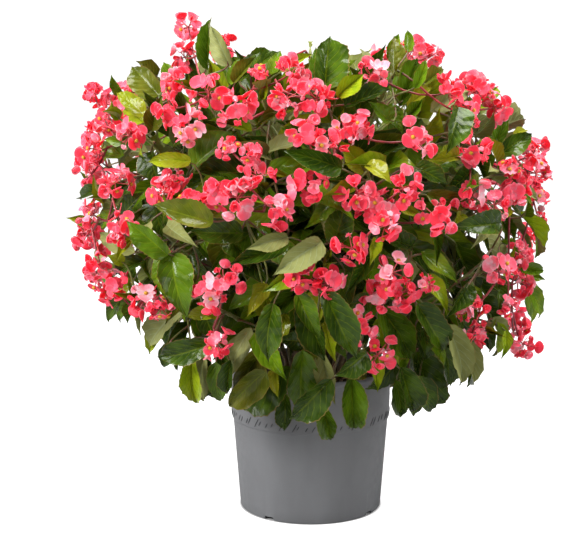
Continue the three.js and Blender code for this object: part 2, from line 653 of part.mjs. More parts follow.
function potSolid() {
  const inner = (r) => r - WALL;
  const profile = [
    [FOOT_R - FOOT_RING, 0], [FOOT_R - 2, 0], [FOOT_R, 2], [WAIST_R, BAND_Z], [BAND_R, BAND_Z + 2],
    [RIM_R - 1, POT_HEIGHT - LIP_DEPTH], [RIM_R, POT_HEIGHT - 2], [RIM_R - 1.5, POT_HEIGHT],
    [RIM_R - LIP_WIDTH, POT_HEIGHT - 1], [inner(RIM_R - 2), POT_HEIGHT - LIP_DEPTH],
    [inner(BAND_R), BAND_Z + 2], [inner(FOOT_R) + 0.6, FLOOR_Z + WALL], [0, FLOOR_Z + WALL], [0, FLOOR_Z],
    [FOOT_R - FOOT_RING, FLOOR_Z],
  ].map(([r, z]) => new THREE.Vector2(r, z));
  profile.push(profile[0].clone());
  let pot = solidOf(new THREE.LatheGeometry(profile, POT_SIDES).rotateX(Math.PI / 2));
  for (let i = 0; i < NOTCHES; i++) {
    const turn = degrees(NOTCH_START + (360 * i) / NOTCHES);
    const notch = new THREE.BoxGeometry(...NOTCH_SIZE);
    notch.translate(FOOT_R, 0, NOTCH_SIZE[2] / 2 - 1);
    notch.rotateZ(turn);
    const drain = new THREE.CylinderGeometry(DRAIN_R, DRAIN_R, 20, 8);
    drain.rotateX(Math.PI / 2);
    drain.translate(DRAIN_RING_R, 0, FLOOR_Z);
    drain.rotateZ(turn);
    pot = pot.subtract(solidOf(notch)).subtract(solidOf(drain));
  }
  return pot;
}

// Potting mix: a plug that fills the pot, with a plain hole for each cane.
function mixSolid(canes) {
  const inner = (z) => THREE.MathUtils.mapLinear(z, FLOOR_Z, BAND_Z, FOOT_R, WAIST_R) - WALL - 3 * GAP;
  const low = FLOOR_Z + WALL + GAP;
  const profile = [
    [0, low], [inner(low) - 1, low], [inner(BAND_Z), BAND_Z],
    [inner(BAND_Z) + 1.2, MIX_TOP - MIX_CROWN], [0, MIX_TOP],
  ].map(([r, z]) => new THREE.Vector2(r, z));
  const plug = solidOf(new THREE.LatheGeometry(profile, POT_SIDES).rotateX(Math.PI / 2));
  return canes.reduce((body, cane) => body.subtract(caneSolid(cane, GAP + 0.1)), plug);
}

const canes = growCanes();
const room = new Room();
canes.forEach((cane, i) => room.add(along(cane.points), i, "stalk"));
placeHeads(canes, room);
placeLeaves(canes, room);

const plastic = new THREE.MeshStandardMaterial({ color: 0x6a6a6c, roughness: 0.55, metalness: 0 });
const peat = new THREE.MeshStandardMaterial({ color: 0x3a2a1e, roughness: 0.95, metalness: 0 });
const green = new THREE.MeshStandardMaterial({ color: 0x3f5a1c, roughness: 0.35, metalness: 0 });
const coral = new THREE.MeshStandardMaterial({ color: 0xf4506a, roughness: 0.5, metalness: 0 });

const begonia = new THREE.Group();
begonia.add(meshOf("pot", potSolid(), plastic));
begonia.add(meshOf("potting_mix", mixSolid(canes), peat));
canes.forEach((cane, i) => {
  const number = String(i + 1).padStart(2, "0");
  const stem = fuse([caneSolid(cane, 0), ...cane.leaves.map(leafSolid)]);
  begonia.add(meshOf("leafy_stem_" + number, stem, green));
  if (!cane.heads.length) return;
  const trunk = bar([cane.socket, cane.fork], STALK_R + 0.3, STALK_R, 3);
  const spray = fuse([trunk, ...cane.heads.map(headSolid)]);
  const cut = spray.subtract(caneSolid(cane, GAP)).decompose();
  const seated = cut.sort((a, b) => b.volume() - a.volume())[0];
  begonia.add(meshOf("flower_spray_" + number, seated, coral));
});

export default begonia;
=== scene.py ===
"""Finished surfaces of a potted begonia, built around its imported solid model."""

import math

import bpy
import numpy as np
from bpy.props import FloatProperty, FloatVectorProperty, IntProperty, PointerProperty
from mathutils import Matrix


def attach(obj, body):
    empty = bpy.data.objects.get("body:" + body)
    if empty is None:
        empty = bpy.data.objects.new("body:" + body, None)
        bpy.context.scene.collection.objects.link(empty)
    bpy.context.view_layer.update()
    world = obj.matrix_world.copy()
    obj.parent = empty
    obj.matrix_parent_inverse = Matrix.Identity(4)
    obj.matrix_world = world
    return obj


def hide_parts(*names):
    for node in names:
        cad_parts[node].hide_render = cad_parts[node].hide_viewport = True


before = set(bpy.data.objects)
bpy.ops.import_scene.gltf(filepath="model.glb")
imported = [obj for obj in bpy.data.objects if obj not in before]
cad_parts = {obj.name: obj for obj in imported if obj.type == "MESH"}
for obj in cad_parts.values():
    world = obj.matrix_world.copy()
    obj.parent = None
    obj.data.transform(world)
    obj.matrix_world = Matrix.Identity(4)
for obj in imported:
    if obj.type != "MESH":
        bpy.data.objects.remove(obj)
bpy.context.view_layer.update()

bl_info = {
    "name": "Potted begonia",
    "version": (1, 0, 0),
    "blender": (4, 5, 0),
    "location": "3D View > Sidebar > Begonia",
    "description": "Builds the finished surfaces of a potted begonia around its solid model",
    "category": "Add Mesh",
}

MM = 0.001

# The plant's rule, in millimetres. The solid model places its canes, heads and leaves by this same rule, so
# that each finished piece lies where its solid does.

MIX_TOP = 196.0
CANE_SUNK = 40.0
EYE = np.array([-30.0, -2275.0, 748.0])
EYE_PITCH = 9.8
FOCAL = 1525.0
MIDDLE = (291.0, 276.5)

CROWN_Z = 450.0
CROWN_R = 346.0
CROWN_UP = 270.0
CROWN_DOWN = 325.0
CROWN_LEAST_R = 139.0

# Leaves and heads face away from the heart, and sprays grow away from a place above it.
HEART = np.array([0, 0, CROWN_Z - 120])
SPRAY_HEART = np.array([0, 0, CROWN_Z - 60])
GOLDEN_TURN = 137.508
POINT_STEP = 5.0

CANE_STEPS = 6
CANE_LAYER = 0.8
ROOT_R = 86.0
ROOT_LEAST_R = 12
ROOT_HIGH_TIP = 660
ROOT_LOW_TIP = 260
ROOT_ROUNDS = 80
ROOT_SPACE = 25.0
CANE_SPACE = 13.0
DROOP_BELOW = 330
SWINGS = (0, 14, -14, 28, -28, 42, -42, 56, -56, 70, -70, 84, -84, 98, -98)

PIXEL = 1.5
WAVE = 0.035
HEAD_R = 22.0
HEAD_LAYERS = (0.985, 0.96, 0.935, 1.01, 0.91, 1.035, 0.885, 1.06, 1.085)
LONGEST_SPRAY = 170.0
SHORTEST_BRANCH = 6
FORK_OUT, FORK_AHEAD = 24, 8
FORK_WAY = 0.6
HEAD_TRIES = 8
MOST_HEADS = 6
FAR_HEADS = 40
FAR_HEAD_SIZE = 14
FAR_HEAD_START = 200
FAR_LEAF_START = 400
LEAF_LEAST = 14
LEAF_SLANT = 0.6
LEAST_TURN = 0.2
CROWDING = 9.0
CROWDED_WAY = 0.62
LEAFY_WAY = 0.3
SOCKET_WAY = 0.93
SHORTEST_PETIOLE = 9
LONGEST_PETIOLE = 130.0
PETIOLE_SKIP = 7.0
LEAF_TRIES = 10
FAR_SHORT = 76.0
FAR_SPARE = 24.0
FAR_WIDTH = 0.44
FAR_LEAVES = 46
FAR_Y = -30.0
FAR_TOP = 705.0
FAR_LOW = 250.0
LAYERS = (1, 0.965, 1.03, 0.93, 0.895, 0.86, 1.055, 0.825, 0.79, 0.755, 1.08, 0.72, 0.68, 0.64, 0.6, 0.56)
BLADE_CLEAR = 9.0
STEM_CLEAR_OWN = 5.0
STEM_CLEAR = 8.0
HEAD_CLEAR = 3.0
POT_TOP = 219.0 + 7.0
POT_REACH = 123.0 + 5.0
SPRAY_OWNER = 100
TWIG = 0.35

# Where the tip of each cane of the near side shows, and the turn and height of those of the far side.
CANES = (
    (190, 92), (118, 118), (104, 200), (136, 292), (180, 200), (264, 190), (262, 96), (336, 136),
    (396, 70), (464, 112), (512, 184), (392, 202), (326, 264), (404, 284), (502, 266), (216, 310),
    (366, 350), (484, 330),
)
BARE_CANES = 1
FAR_CANES = (
    (10, 560), (48, 420), (72, 610), (92, 300), (112, 500), (140, 640), (148, 380), (172, 520), (90, 705),
)

# Where each flower head shows: x, y and size.
HEADS = (
    (187, 24, 12), (182, 55, 13), (173, 80, 12), (207, 90, 16), (167, 108, 13), (188, 128, 16),
    (92, 92, 9), (112, 100, 13), (112, 121, 14), (128, 134, 12), (96, 150, 16), (88, 175, 13),
    (114, 180, 14), (90, 213, 13), (84, 236, 13), (122, 228, 13), (98, 266, 14), (113, 288, 14),
    (143, 300, 15), (161, 309, 9), (162, 190, 12), (174, 178, 12), (185, 207, 15), (215, 194, 12),
    (237, 197, 15), (257, 173, 14), (251, 152, 8), (310, 186, 16), (281, 213, 12), (235, 108, 15),
    (228, 147, 8), (258, 71, 8), (293, 70, 13), (288, 97, 13), (319, 97, 13), (306, 130, 12),
    (328, 144, 13), (346, 131, 10), (362, 126, 11), (371, 73, 15), (415, 47, 16), (452, 92, 15),
    (471, 115, 14), (420, 138, 16), (480, 88, 13), (498, 105, 13), (475, 149, 13), (537, 152, 12),
    (539, 173, 14), (512, 167, 9), (472, 197, 12), (496, 205, 12), (516, 192, 14), (541, 221, 8),
    (358, 192, 14), (377, 205, 15), (388, 226, 12), (405, 186, 16), (438, 215, 16), (350, 250, 16),
    (299, 275, 13), (329, 284, 13), (392, 272, 13), (380, 292, 15), (404, 299, 12), (427, 283, 8),
    (500, 268, 16), (522, 281, 13), (523, 252, 10), (473, 311, 13), (474, 336, 14), (516, 333, 14),
    (510, 307, 9), (224, 278, 13), (208, 297, 14), (217, 345, 15), (358, 328, 14), (379, 355, 14),
)

# Where each large leaf shows: base x and y, tip x and y, width, and its kind. The kinds are D dark, M middle
# green, L light, Y young and yellow, O bronze and P turned, so that its pale underside shows.
LEAVES = (
    (208, 64, 208, 18, 22, "M"), (228, 62, 213, 23, 16, "P"), (156, 92, 133, 64, 28, "O"),
    (141, 113, 114, 94, 18, "Y"), (153, 127, 160, 94, 24, "O"), (151, 101, 133, 84, 16, "D"),
    (198, 163, 240, 133, 26, "M"), (186, 161, 147, 159, 13, "Y"), (193, 131, 174, 149, 16, "M"),
    (152, 138, 118, 172, 26, "D"), (219, 68, 235, 94, 20, "M"), (248, 111, 293, 85, 24, "L"),
    (242, 78, 282, 53, 22, "D"), (236, 80, 258, 57, 14, "O"), (284, 70, 313, 52, 15, "Y"),
    (325, 84, 326, 35, 37, "M"), (340, 94, 363, 72, 22, "L"), (334, 87, 350, 110, 20, "Y"),
    (302, 106, 256, 129, 20, "O"), (303, 137, 278, 129, 14, "M"), (335, 166, 282, 146, 24, "D"),
    (362, 167, 339, 137, 24, "Y"), (364, 163, 401, 141, 19, "D"), (350, 104, 394, 91, 17, "D"),
    (387, 119, 367, 103, 16, "M"), (386, 111, 402, 136, 18, "M"), (394, 72, 391, 35, 20, "O"),
    (402, 101, 421, 58, 26, "M"), (393, 90, 380, 64, 17, "M"), (410, 104, 434, 89, 15, "Y"),
    (457, 112, 444, 153, 26, "D"), (497, 161, 486, 136, 14, "Y"), (503, 152, 531, 131, 22, "D"),
    (497, 141, 508, 110, 18, "M"), (456, 156, 430, 163, 15, "Y"), (419, 169, 448, 187, 18, "D"),
    (369, 167, 391, 185, 16, "Y"), (296, 173, 322, 161, 13, "M"), (293, 168, 275, 184, 17, "M"),
    (259, 193, 216, 175, 22, "D"), (163, 251, 127, 217, 23, "M"), (134, 227, 147, 205, 15, "M"),
    (124, 214, 146, 193, 17, "D"), (206, 221, 150, 208, 20, "O"), (266, 213, 203, 207, 17, "O"),
    (237, 233, 188, 234, 27, "D"), (230, 237, 251, 266, 19, "M"), (283, 238, 244, 247, 18, "P"),
    (316, 245, 270, 273, 26, "P"), (336, 237, 350, 193, 28, "M"), (408, 245, 370, 236, 19, "D"),
    (413, 250, 460, 290, 25, "D"), (495, 224, 449, 231, 23, "D"), (444, 195, 471, 215, 20, "D"),
    (522, 217, 541, 256, 22, "L"), (505, 223, 515, 244, 14, "P"), (519, 189, 539, 202, 14, "P"),
    (529, 285, 545, 317, 22, "O"), (383, 312, 417, 358, 34, "M"), (420, 310, 442, 356, 22, "D"),
    (367, 302, 340, 303, 24, "D"), (466, 288, 443, 317, 15, "D"), (491, 315, 504, 336, 14, "D"),
    (494, 320, 500, 346, 17, "P"), (450, 332, 466, 385, 30, "P"), (418, 359, 427, 415, 27, "D"),
    (401, 366, 384, 391, 27, "D"), (402, 373, 411, 417, 26, "D"), (396, 361, 367, 392, 27, "D"),
    (352, 383, 350, 432, 21, "M"), (321, 407, 335, 441, 19, "M"), (326, 384, 285, 418, 25, "D"),
    (302, 358, 296, 414, 22, "M"), (285, 398, 287, 433, 18, "D"), (283, 371, 231, 405, 36, "D"),
    (261, 351, 230, 393, 22, "O"), (272, 310, 264, 362, 27, "M"), (236, 299, 260, 350, 15, "M"),
    (303, 341, 275, 341, 22, "D"), (304, 309, 330, 363, 22, "D"), (300, 299, 318, 342, 13, "M"),
    (328, 300, 354, 364, 25, "D"), (306, 351, 327, 384, 25, "M"), (363, 355, 333, 375, 23, "D"),
    (363, 371, 346, 379, 16, "D"), (177, 311, 149, 352, 26, "P"), (176, 314, 169, 355, 14, "D"),
    (206, 345, 158, 361, 23, "D"), (192, 361, 194, 406, 21, "L"), (203, 361, 200, 402, 15, "P"),
    (210, 359, 217, 401, 18, "D"), (220, 352, 224, 378, 15, "D"), (216, 309, 187, 319, 17, "Y"),
    (172, 261, 183, 321, 33, "M"), (131, 250, 100, 229, 16, "P"), (141, 262, 114, 277, 15, "D"),
    (127, 188, 113, 212, 16, "M"), (118, 306, 106, 315, 13, "D"), (470, 172, 441, 200, 28, "D"),
    (381, 214, 362, 236, 20, "D"),
)


def draw(item, purpose):
    """A seeded draw from 0 to 1 for an item and a purpose: the fraction of a steep sine of the two."""
    wave = np.sin(np.asarray(item) * 12.9898 + purpose * 78.233) * 43758.5453
    return wave - np.floor(wave)


def unit(v):
    """Vectors of length one, along the last axis."""
    return v / np.maximum(np.linalg.norm(v, axis=-1, keepdims=True), 1e-9)


def lerp(a, b, t):
    """What lies a share t of the way from a to b."""
    return a + (b - a) * t


def half_up(value):
    """The nearest whole number, with halves rounded up, as in the solid model."""
    return int(math.floor(value + 0.5))


def crown_radius(z):
    """Radius of the crown at a height: a rounded dome above its widest height and a longer oval below."""
    z = np.asarray(z, float)
    above = z > CROWN_Z
    k = np.minimum(np.abs(z - CROWN_Z) / np.where(above, CROWN_UP, CROWN_DOWN), 1)
    power = np.where(above, 2.6, 2.0)
    r = CROWN_R * (1 - k**power) ** (1 / power)
    return np.where(z < CROWN_Z, np.maximum(r, CROWN_LEAST_R), r)


def sight_at(x, y, level):
    """Points at depths, which are values of y, on the line of sight through a picture position."""
    pitch = math.radians(EYE_PITCH)
    up = (MIDDLE[1] - y) / FOCAL
    sight = np.array([
        (x - MIDDLE[0]) / FOCAL,
        math.cos(pitch) + up * math.sin(pitch),
        up * math.cos(pitch) - math.sin(pitch),
    ])
    return EYE + sight * ((np.asarray(level, float)[..., None] - EYE[1]) / sight[1])


LEVELS = np.arange(-CROWN_R * 1.15, -25, 2.0)


def on_crown(x, y, layer, depth=0.0):
    """Where a line of sight meets the crown grown or shrunk to a layer, or a point before the axis."""
    points = sight_at(x, y, LEVELS)
    z = CROWN_Z + (points[:, 2] - CROWN_Z) / layer
    inside = np.hypot(points[:, 0], points[:, 1]) < crown_radius(z) * layer
    if inside.any():
        return points[np.argmax(inside)]
    return sight_at(x, y, -25 - 60 * depth + 250 * (1 - layer))


def crown_point(turn, z, layer):
    """The point of a layer of the crown at a turn round the axis and a height."""
    r = float(crown_radius(z)) * layer
    return np.array([r * math.cos(math.radians(turn)), r * math.sin(math.radians(turn)), z])


def spots_around(count, start, top, low):
    """Turn, height and item of spots spread evenly round the crown by the golden angle, from the top down."""
    return [
        ((GOLDEN_TURN * (i + start)) % 360, lerp(top, low, (i + 0.5) / count), start + i)
        for i in range(count)
    ]


def far_spots(count, start, low):
    """Those spots that lie on the far side, which the photograph doesn't show."""
    spots = spots_around(count, start, FAR_TOP, low)
    return [spot for spot in spots if crown_point(spot[0], spot[1], 1)[1] > FAR_Y]


def along(points, skip=0.0):
    """Points every 5 mm along straight stretches, and how many stretches each one lies along."""
    found, steps = [], []
    for i in range(len(points) - 1):
        length = float(np.linalg.norm(points[i + 1] - points[i]))
        ways = np.arange(skip if i == 0 else 0.0, length, POINT_STEP) / length
        found.append(lerp(points[i], points[i + 1], ways[:, None]))
        steps.append(i + ways)
    found.append(points[-1][None])
    steps.append([len(points) - 1.0])
    return np.concatenate(found), np.concatenate(steps)


def cane_roots(tips):
    """Where canes leave the mix: nearer to the wall for low tips, pushed apart until none stand close."""
    roots = []
    for tip in tips:
        r = ROOT_LEAST_R + (tip[2] - ROOT_HIGH_TIP) * (ROOT_R - ROOT_LEAST_R) / (ROOT_LOW_TIP - ROOT_HIGH_TIP)
        roots.append(tip[:2] * min(max(r, ROOT_LEAST_R), ROOT_R) / math.hypot(tip[0], tip[1]))
    for _ in range(ROOT_ROUNDS):
        for i in range(len(roots)):
            for j in range(i):
                apart = roots[i] - roots[j]
                space = math.hypot(*apart)
                if space < ROOT_SPACE:
                    apart = apart / space * (ROOT_SPACE - space) / 2
                    roots[i] = roots[i] + apart
                    roots[j] = roots[j] - apart
        roots = [root * min(1.0, ROOT_R / math.hypot(*root)) for root in roots]
    return roots


def bezier(corners, t):
    """The smooth cubic through its four corners' weights, at parameters from 0 to 1."""
    t = np.asarray(t, float)[:, None]
    a, b, c, d = corners
    return a * (1 - t) ** 3 + 3 * b * t * (1 - t) ** 2 + 3 * c * t**2 * (1 - t) + d * t**3


def cane_corners(root, tip, swing):
    """The corners of a cane's curve: up out of the mix, over the rim and out to its tip, swung aside."""
    aside = np.array([-tip[1], tip[0], 0]) / math.hypot(tip[0], tip[1]) * swing
    droop = max(0.0, DROOP_BELOW - tip[2])
    start = np.array([root[0], root[1], MIX_TOP - CANE_SUNK])
    first = np.array([root[0] * 1.1, root[1] * 1.1, MIX_TOP + 0.3 * (tip[2] - MIX_TOP) + droop * 0.85])
    second = np.array([tip[0] * 0.66, tip[1] * 0.66, tip[2] * 0.86 + 24 + droop * 0.95])
    return start, first + 0.6 * aside, second + aside, tip


class Cane:
    """A cane with its smooth curve, its straight stretches in the solid, and what grows on it."""

    def __init__(self, number, tip, blooms):
        self.number, self.tip, self.blooms = number, tip, blooms
        self.heads, self.leaves, self.branches = [], [], []

    def bend(self, corners):
        self.corners = corners
        self.joints = bezier(corners, np.linspace(0, 1, CANE_STEPS + 1))
        self.points, self.steps = along(self.joints)

    def smooth(self, point):
        """The place on the smooth curve that stands for a point of the straight stretches."""
        away = np.linalg.norm(self.points - point, axis=1)
        nearest = int(np.argmin(away))
        return bezier(self.corners, self.steps[nearest:nearest + 1] / CANE_STEPS)[0]


def grow_canes():
    """All canes, near and far, each swung aside as far as it needs to pass clear of those before it."""
    tips = [sight_at(x, y, on_crown(x, y, 1)[1] * CANE_LAYER) for x, y in CANES]
    tips += [crown_point(turn, z, CANE_LAYER) for turn, z in FAR_CANES]
    bare = range(len(CANES) - BARE_CANES, len(CANES))
    canes = [Cane(i, tip, i not in bare) for i, tip in enumerate(tips)]
    for i, (cane, root) in enumerate(zip(canes, cane_roots(tips))):
        widest, chosen = -1.0, None
        for swing in SWINGS:
            corners = cane_corners(root, cane.tip, swing)
            cane.bend(corners)
            space = math.inf
            for other in canes[:i]:
                gaps = np.linalg.norm(other.points[:, None] - cane.points[None], axis=2)
                space = min(space, float(gaps.min()))
            if space > widest:
                widest, chosen = space, corners
            if space > CANE_SPACE:
                break
        cane.bend(chosen)
    return canes


class Room:
    """Room already taken, as sample points of blades and stalks, and as balls round the flower heads."""

    def __init__(self):
        self.points, self.owners, self.blades = np.zeros((0, 3)), np.zeros(0, int), np.zeros(0, bool)
        self.heads, self.radii, self.head_owners = np.zeros((0, 3)), np.zeros(0), np.zeros(0, int)

    def add(self, points, owner, blade=False):
        self.points = np.concatenate([self.points, points])
        self.owners = np.concatenate([self.owners, np.full(len(points), owner)])
        self.blades = np.concatenate([self.blades, np.full(len(points), blade)])

    def add_head(self, centre, r, owner):
        self.heads = np.concatenate([self.heads, centre[None]])
        self.radii = np.append(self.radii, r)
        self.head_owners = np.append(self.head_owners, owner)

    def blocked(self, points, owner, blade=False, share=1.0):
        """Whether any point comes too near to what another owner has placed. A share shrinks the room."""
        others = self.head_owners != owner
        if others.any():
            gaps = np.linalg.norm(points[:, None] - self.heads[None, others], axis=2)
            if (gaps < share * (self.radii[others] + HEAD_CLEAR)).any():
                return True
        near = ((self.points > points.min(0) - 10) & (self.points < points.max(0) + 10)).all(1)
        if not near.any():
            return False
        same_kind, same_owner = self.blades[near] == blade, self.owners[near] == owner
        own = np.where(same_kind, 0.0, STEM_CLEAR_OWN)
        clear = np.where(same_owner, own, STEM_CLEAR)
        if blade:
            clear = np.where(self.blades[near], BLADE_CLEAR, clear)
        gaps = np.linalg.norm(points[:, None] - self.points[None, near], axis=2)
        return bool((gaps < clear * share).any())

    def near(self, centre, r, owner, points):
        """Whether a ball comes too near to a stalk or head of another owner, or over a given point."""
        stalks = np.linalg.norm(self.points - centre, axis=1) < r + 2
        if (stalks & (self.owners != owner)).any():
            return True
        reach = np.where(self.head_owners == owner, 0.8, 1.0) * (self.radii + r)
        if (np.linalg.norm(self.heads - centre, axis=1) < reach).any():
            return True
        return min(np.linalg.norm(q - centre) for q in points) < 5


def open_sprays(canes, room):
    """The fork near each cane's tip that its spray grows from."""
    for cane in canes:
        if not cane.blooms:
            continue
        cane.socket = cane.points[half_up(len(cane.points) * SOCKET_WAY)]
        ahead = unit(cane.joints[-1] - cane.joints[-2])
        outward = unit(cane.tip - SPRAY_HEART)
        sideways = unit(outward - ahead * (outward @ ahead))
        cane.fork = cane.socket + FORK_OUT * sideways + FORK_AHEAD * ahead
        cane.branches = [cane.fork]
        room.add(along([cane.socket, cane.fork])[0], SPRAY_OWNER + cane.number)


def place_head(canes, room, item, size, at, layers=HEAD_LAYERS, most=MOST_HEADS, longest=LONGEST_SPRAY):
    """Puts a head in the first layer where it is clear, on the nearest place where a spray can branch."""
    r = min(HEAD_R, size * PIXEL * 1.1)
    for layer in layers:
        p = at(layer)
        choices = []
        for cane in canes:
            if len(cane.heads) >= most:
                continue
            for start in cane.branches:
                away, whole = np.linalg.norm(start - p), np.linalg.norm(cane.fork - p)
                if away > SHORTEST_BRANCH and whole < longest:
                    choices.append((away + whole, cane, start))
        choices.sort(key=lambda choice: choice[0])
        for _, cane, start in choices[:HEAD_TRIES]:
            owner = SPRAY_OWNER + cane.number
            outward = unit(p - HEART)
            axis = unit(0.75 * outward + 0.7 * unit(p - start))
            hub = p - 0.25 * r * axis
            stalk = along([start, hub])[0]
            if room.near(p, r, owner, cane.branches) or room.blocked(stalk, owner):
                continue
            room.add_head(p, r, owner)
            room.add(stalk, owner)
            cane.heads.append({"item": item, "start": start, "hub": hub, "axis": axis, "r": r})
            cane.branches.append(lerp(start, hub, FORK_WAY))
            return True
    return False


def leaf_frame(base, tip, width, item):
    """The frame of a leaf: its base, its own axes, its size and its folds."""
    outward = unit(lerp(base, tip, 0.5) - HEART)
    facing = 0.55 * outward + 0.6 * (np.array([0, -1, 0.15]) if base[1] < FAR_Y else outward)
    facing = facing + 0.5 * np.array([draw(item, 2) - 0.5, 0, draw(item, 3) - 0.5])
    length = float(np.linalg.norm(tip - base))
    ahead = (tip - base) / length
    side = unit(np.cross(facing, ahead))
    return {
        "base": base, "ahead": ahead, "side": side, "up": np.cross(ahead, side), "length": length,
        "half": max(width / 2, length * 0.23), "hand": -1.0 if draw(item, 4) < 0.5 else 1.0,
        "fold": 0.2 + 0.35 * float(draw(item, 6)), "arch": 0.05 + 0.07 * float(draw(item, 7)), "item": item,
    }


def blade_points(leaf, s, t, wide=0.16, edge=1.0, ripple=0.0, taper=0.0):
    """Points of blades: s runs from base to tip and t from the left edge, -1, to the right edge, 1.

    The half width follows a power of the sine of a power of s, wider on one hand. Across, it is turned up
    by the fold. Along, the base is drawn back into lobes, the rib arches by a parabola, and the edges wave.
    Edge scales the outline, for teeth, ripple adds to the height, and taper makes the tip more pointed.
    """
    outline = np.maximum(np.sin(math.pi * s**0.62), 0) ** (0.8 + taper * (s - 0.3))
    across = leaf["half"] * outline * (1 + wide * leaf["hand"] * np.sign(t)) * edge
    lobe = 0.13 * np.abs(t) * np.maximum(0, 1 - s / 0.5)
    arch = leaf["arch"] * 4 * s * (1 - s)
    wave = WAVE * t * t * np.sin(math.pi * 3.4 * s + leaf["hand"] * t * 1.2) * outline
    forward = leaf["length"] * (s - lobe)
    sideways = t * across * np.cos(leaf["fold"])
    upward = leaf["length"] * (arch + wave + ripple) + np.abs(t) * across * np.sin(leaf["fold"])
    return (
        leaf["base"] + leaf["ahead"] * forward[..., None]
        + leaf["side"] * sideways[..., None] + leaf["up"] * upward[..., None]
    )


SAMPLE_WAYS = [0.02, 0.15, 0.27, 0.39, 0.51, 0.63, 0.75, 0.88, 1]
SAMPLE_S, SAMPLE_T = (grid.ravel() for grid in np.meshgrid(SAMPLE_WAYS, [-1, -0.5, 0, 0.5, 1]))


def in_pot(points):
    """Whether any point lies in the pot, or nearer to it than a blade may."""
    return bool(((points[:, 2] < POT_TOP) & (np.hypot(points[:, 0], points[:, 1]) < POT_REACH)).any())


def near_leaf(spot, item, layer):
    """A leaf of the near side lies where it shows, as deep as its layer."""
    bx, by, tx, ty, width, _ = spot
    depth = float(draw(item, 1))
    reach = math.hypot(tx - bx, ty - by) * PIXEL * LEAF_SLANT
    base = on_crown(bx, by, layer - 0.06, depth)
    level = min(max(on_crown(tx, ty, layer, depth)[1], base[1] - reach), base[1] + reach)
    return leaf_frame(base, sight_at(tx, ty, level), width * PIXEL, item)


def far_leaf(spot, layer, short=FAR_SHORT, spare=FAR_SPARE):
    """A leaf placed by rule reaches the crown with its tip. It grows out at the top and hangs lower down."""
    turn, z, item = spot
    tip = crown_point(turn, z, layer)
    outward = unit(tip - HEART)
    sideways = np.array([-outward[1], outward[0], 0]) * 2.4 * (draw(item, 10) - 0.5)
    hang = -0.2 + (z - FAR_TOP) * 1.3 / (FAR_LOW - FAR_TOP)
    ahead = unit(0.45 * outward + sideways - np.array([0, 0, hang]))
    length = short + spare * float(draw(item, 11))
    return leaf_frame(tip - ahead * length, tip, length * FAR_WIDTH, item)


def petiole_corners(seat, leaf):
    """The corners of a petiole's curve: straight off at first, then bent into line with the blade."""
    reach = float(np.linalg.norm(leaf["base"] - seat))
    first = lerp(seat, leaf["base"], 0.35) + np.array([0, 0, 0.06 * reach])
    return seat, first, leaf["base"] - 0.3 * reach * leaf["ahead"], leaf["base"] + 1.5 * leaf["ahead"]


def nearest_cane(canes, p):
    """The cane whose outer part comes nearest. A cane with many leaves counts as farther."""
    away = []
    for cane in canes:
        outer = cane.points[half_up(len(cane.points) * CROWDED_WAY):]
        crowd = sum(leaf["large"] for leaf in cane.leaves)
        away.append(np.linalg.norm(outer - p, axis=1).min() + CROWDING * crowd)
    return canes[int(np.argmin(away))]


def place_leaf(canes, room, grow, kind, layers=LAYERS, large=True, share=1.0):
    """Puts a leaf on the nearest cane, in the first layer where its blade and its petiole are clear."""
    for layer in layers:
        leaf = grow(layer)
        samples = blade_points(leaf, SAMPLE_S, SAMPLE_T)
        cane = nearest_cane(canes, leaf["base"])
        if in_pot(samples) or room.blocked(samples, cane.number, True, share):
            continue
        starts = [(q, None) for q in cane.points[half_up(len(cane.points) * LEAFY_WAY):]]
        starts += [(other["twig"], other) for other in cane.leaves if other["large"]]
        found = []
        for start, other in starts:
            away = float(np.linalg.norm(start - leaf["base"]))
            ahead = float((leaf["base"] - start) @ leaf["ahead"])
            if SHORTEST_PETIOLE < away < LONGEST_PETIOLE and ahead > LEAST_TURN * away:
                found.append((away, start, other))
        found.sort(key=lambda choice: choice[0])
        for _, start, other in found[::2][:LEAF_TRIES]:
            petiole = along([start, leaf["base"]], PETIOLE_SKIP)[0]
            if room.blocked(petiole, cane.number, False, share) or in_pot(petiole):
                continue
            room.add(samples, cane.number, True)
            room.add(petiole, cane.number)
            seat = bezier(other["stalk"], [TWIG])[0] if other else cane.smooth(start)
            leaf.update(
                seat=seat, twig=lerp(start, leaf["base"], TWIG), stalk=petiole_corners(seat, leaf),
                kind=kind, large=large, on_cane=other is None,
            )
            cane.leaves.append(leaf)
            return True
    return False


def grow_plant():
    """The canes with every head and leaf that the solid model has, in the same order."""
    canes, room = grow_canes(), Room()
    for cane in canes:
        room.add(along(cane.points)[0], cane.number)
    open_sprays(canes, room)
    for item, (x, y, size) in enumerate(HEADS):
        depth = float(draw(item, 1))
        place_head(canes, room, item, size, lambda layer: on_crown(x, y, layer, depth))
    for turn, z, item in far_spots(FAR_HEADS, FAR_HEAD_START, FAR_LOW + 60):
        place_head(canes, room, item, FAR_HEAD_SIZE, lambda layer: crown_point(turn, z, layer))
    large = [spot for spot in LEAVES if spot[4] >= LEAF_LEAST]
    left = []
    for item, spot in enumerate(large):
        if not place_leaf(canes, room, lambda layer: near_leaf(spot, item, layer), spot[5]):
            left.append(item)
    for spot in far_spots(FAR_LEAVES, FAR_LEAF_START, FAR_LOW):
        place_leaf(canes, room, lambda layer: far_leaf(spot, layer), "DMDL"[int(4 * draw(spot[2], 12))])
    return canes, room, left


